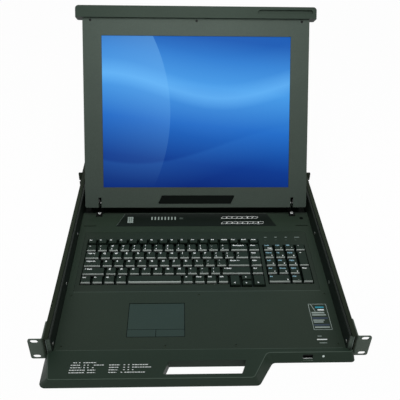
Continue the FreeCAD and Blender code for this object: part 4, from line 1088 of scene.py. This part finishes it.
cameraLook = {"place": (-0.02824, -0.51413, 0.64779), "yaw": -2.41, "down": 36.89, "roll": -1.37,
              "lens": 50.86, "sensor": 36.0}
camera = bpy.data.cameras.new("view")
camera.lens = cameraLook["lens"]
camera.sensor_width = cameraLook["sensor"]
cameraObject = bpy.data.objects.new("view", camera)
cameraObject.matrix_world = (Matrix.Translation(cameraLook["place"])
                             @ Matrix.Rotation(math.radians(cameraLook["yaw"]), 4, "Z")
                             @ Matrix.Rotation(math.radians(-cameraLook["down"]), 4, "X")
                             @ Matrix.Rotation(math.radians(cameraLook["roll"]), 4, "Y")
                             @ Matrix.Rotation(math.radians(90), 4, "X"))
bpy.context.scene.collection.objects.link(cameraObject)
bpy.context.scene.camera = cameraObject

# lamps: where each stands, where it points, its size and its power
lightLook = {
    "overhead": {"place": (0.0, 0.05, 0.66), "target": (0.0, 0.45, 0.62), "size": 0.4, "power": 4.4},
    "front": {"place": (0.0, -0.3, 1.25), "target": (0.0, -0.1, 0.0), "size": 0.5, "power": 5.7},
}
for name, look in lightLook.items():
    lamp = bpy.data.lights.new(name, "AREA")
    lamp.size = look["size"]
    lamp.energy = look["power"]
    lampObject = bpy.data.objects.new(name, lamp)
    aim = (Vector(look["target"]) - Vector(look["place"])).to_track_quat("-Z", "Y").to_matrix().to_4x4()
    lampObject.matrix_world = Matrix.Translation(look["place"]) @ aim
    bpy.context.scene.collection.objects.link(lampObject)


def seenDirectly(finish):
    # 1 for camera, mirror and glass rays
    rays = [finish.add("ShaderNodeLightPath", {}, {}, name)
            for name in ("Is Camera Ray", "Is Glossy Ray", "Is Transmission Ray")]
    return rays[0] + rays[1] + rays[2]


skyLook = {"colour": (1.0, 1.0, 1.0, 1.0), "light": 0.34}
world = bpy.data.worlds.new("studio")
bpy.context.scene.world = world
sky = Finish("studio", world)
skyStrength = seenDirectly(sky) * (1 - skyLook["light"]) + skyLook["light"]
sky.fill(world.node_tree.nodes["Background"], {"Color": skyLook["colour"], "Strength": skyStrength})

floorLook = {"size": 14.0, "drop": 0.5 * mm, "shadow": 0.03, "white": 1.0, "colour": (1.0, 1.0, 1.0, 1.0),
             "paper": (0.9, 0.9, 0.9, 1.0), "rough": 0.9, "specular": 0.1}


def floorFinish():
    # plain paper, mixed with white where it is seen directly, so that it keeps the object's shadow
    paper = Finish("paper")
    paper.set(Base_Color=floorLook["paper"], Roughness=floorLook["rough"],
              Specular_IOR_Level=floorLook["specular"])
    white = paper.add("ShaderNodeEmission", {}, {"Color": floorLook["colour"],
                                                 "Strength": floorLook["white"]})
    share = seenDirectly(paper) * (1 - floorLook["shadow"])
    plain = Wire(paper, paper.shader.outputs[0])
    surface = paper.add("ShaderNodeMixShader", {}, {0: share, 1: plain, 2: white})
    paper.fill(paper.tree.nodes["Material Output"], {"Surface": surface})
    return paper.owner


shape = bmesh.new()
half = floorLook["size"] / 2
ground = cadLow.z - floorLook["drop"]
flat(shape, [(-half, -half, ground), (half, -half, ground), (half, half, ground), (-half, half, ground)])
mesh = bpy.data.meshes.new("studioFloor")
shape.to_mesh(mesh)
shape.free()
mesh.materials.append(floorFinish())
floor = bpy.data.objects.new("studioFloor", mesh)
bpy.context.scene.collection.objects.link(floor)
bpy.context.scene.view_settings.view_transform = "Standard"
print("studio ready")
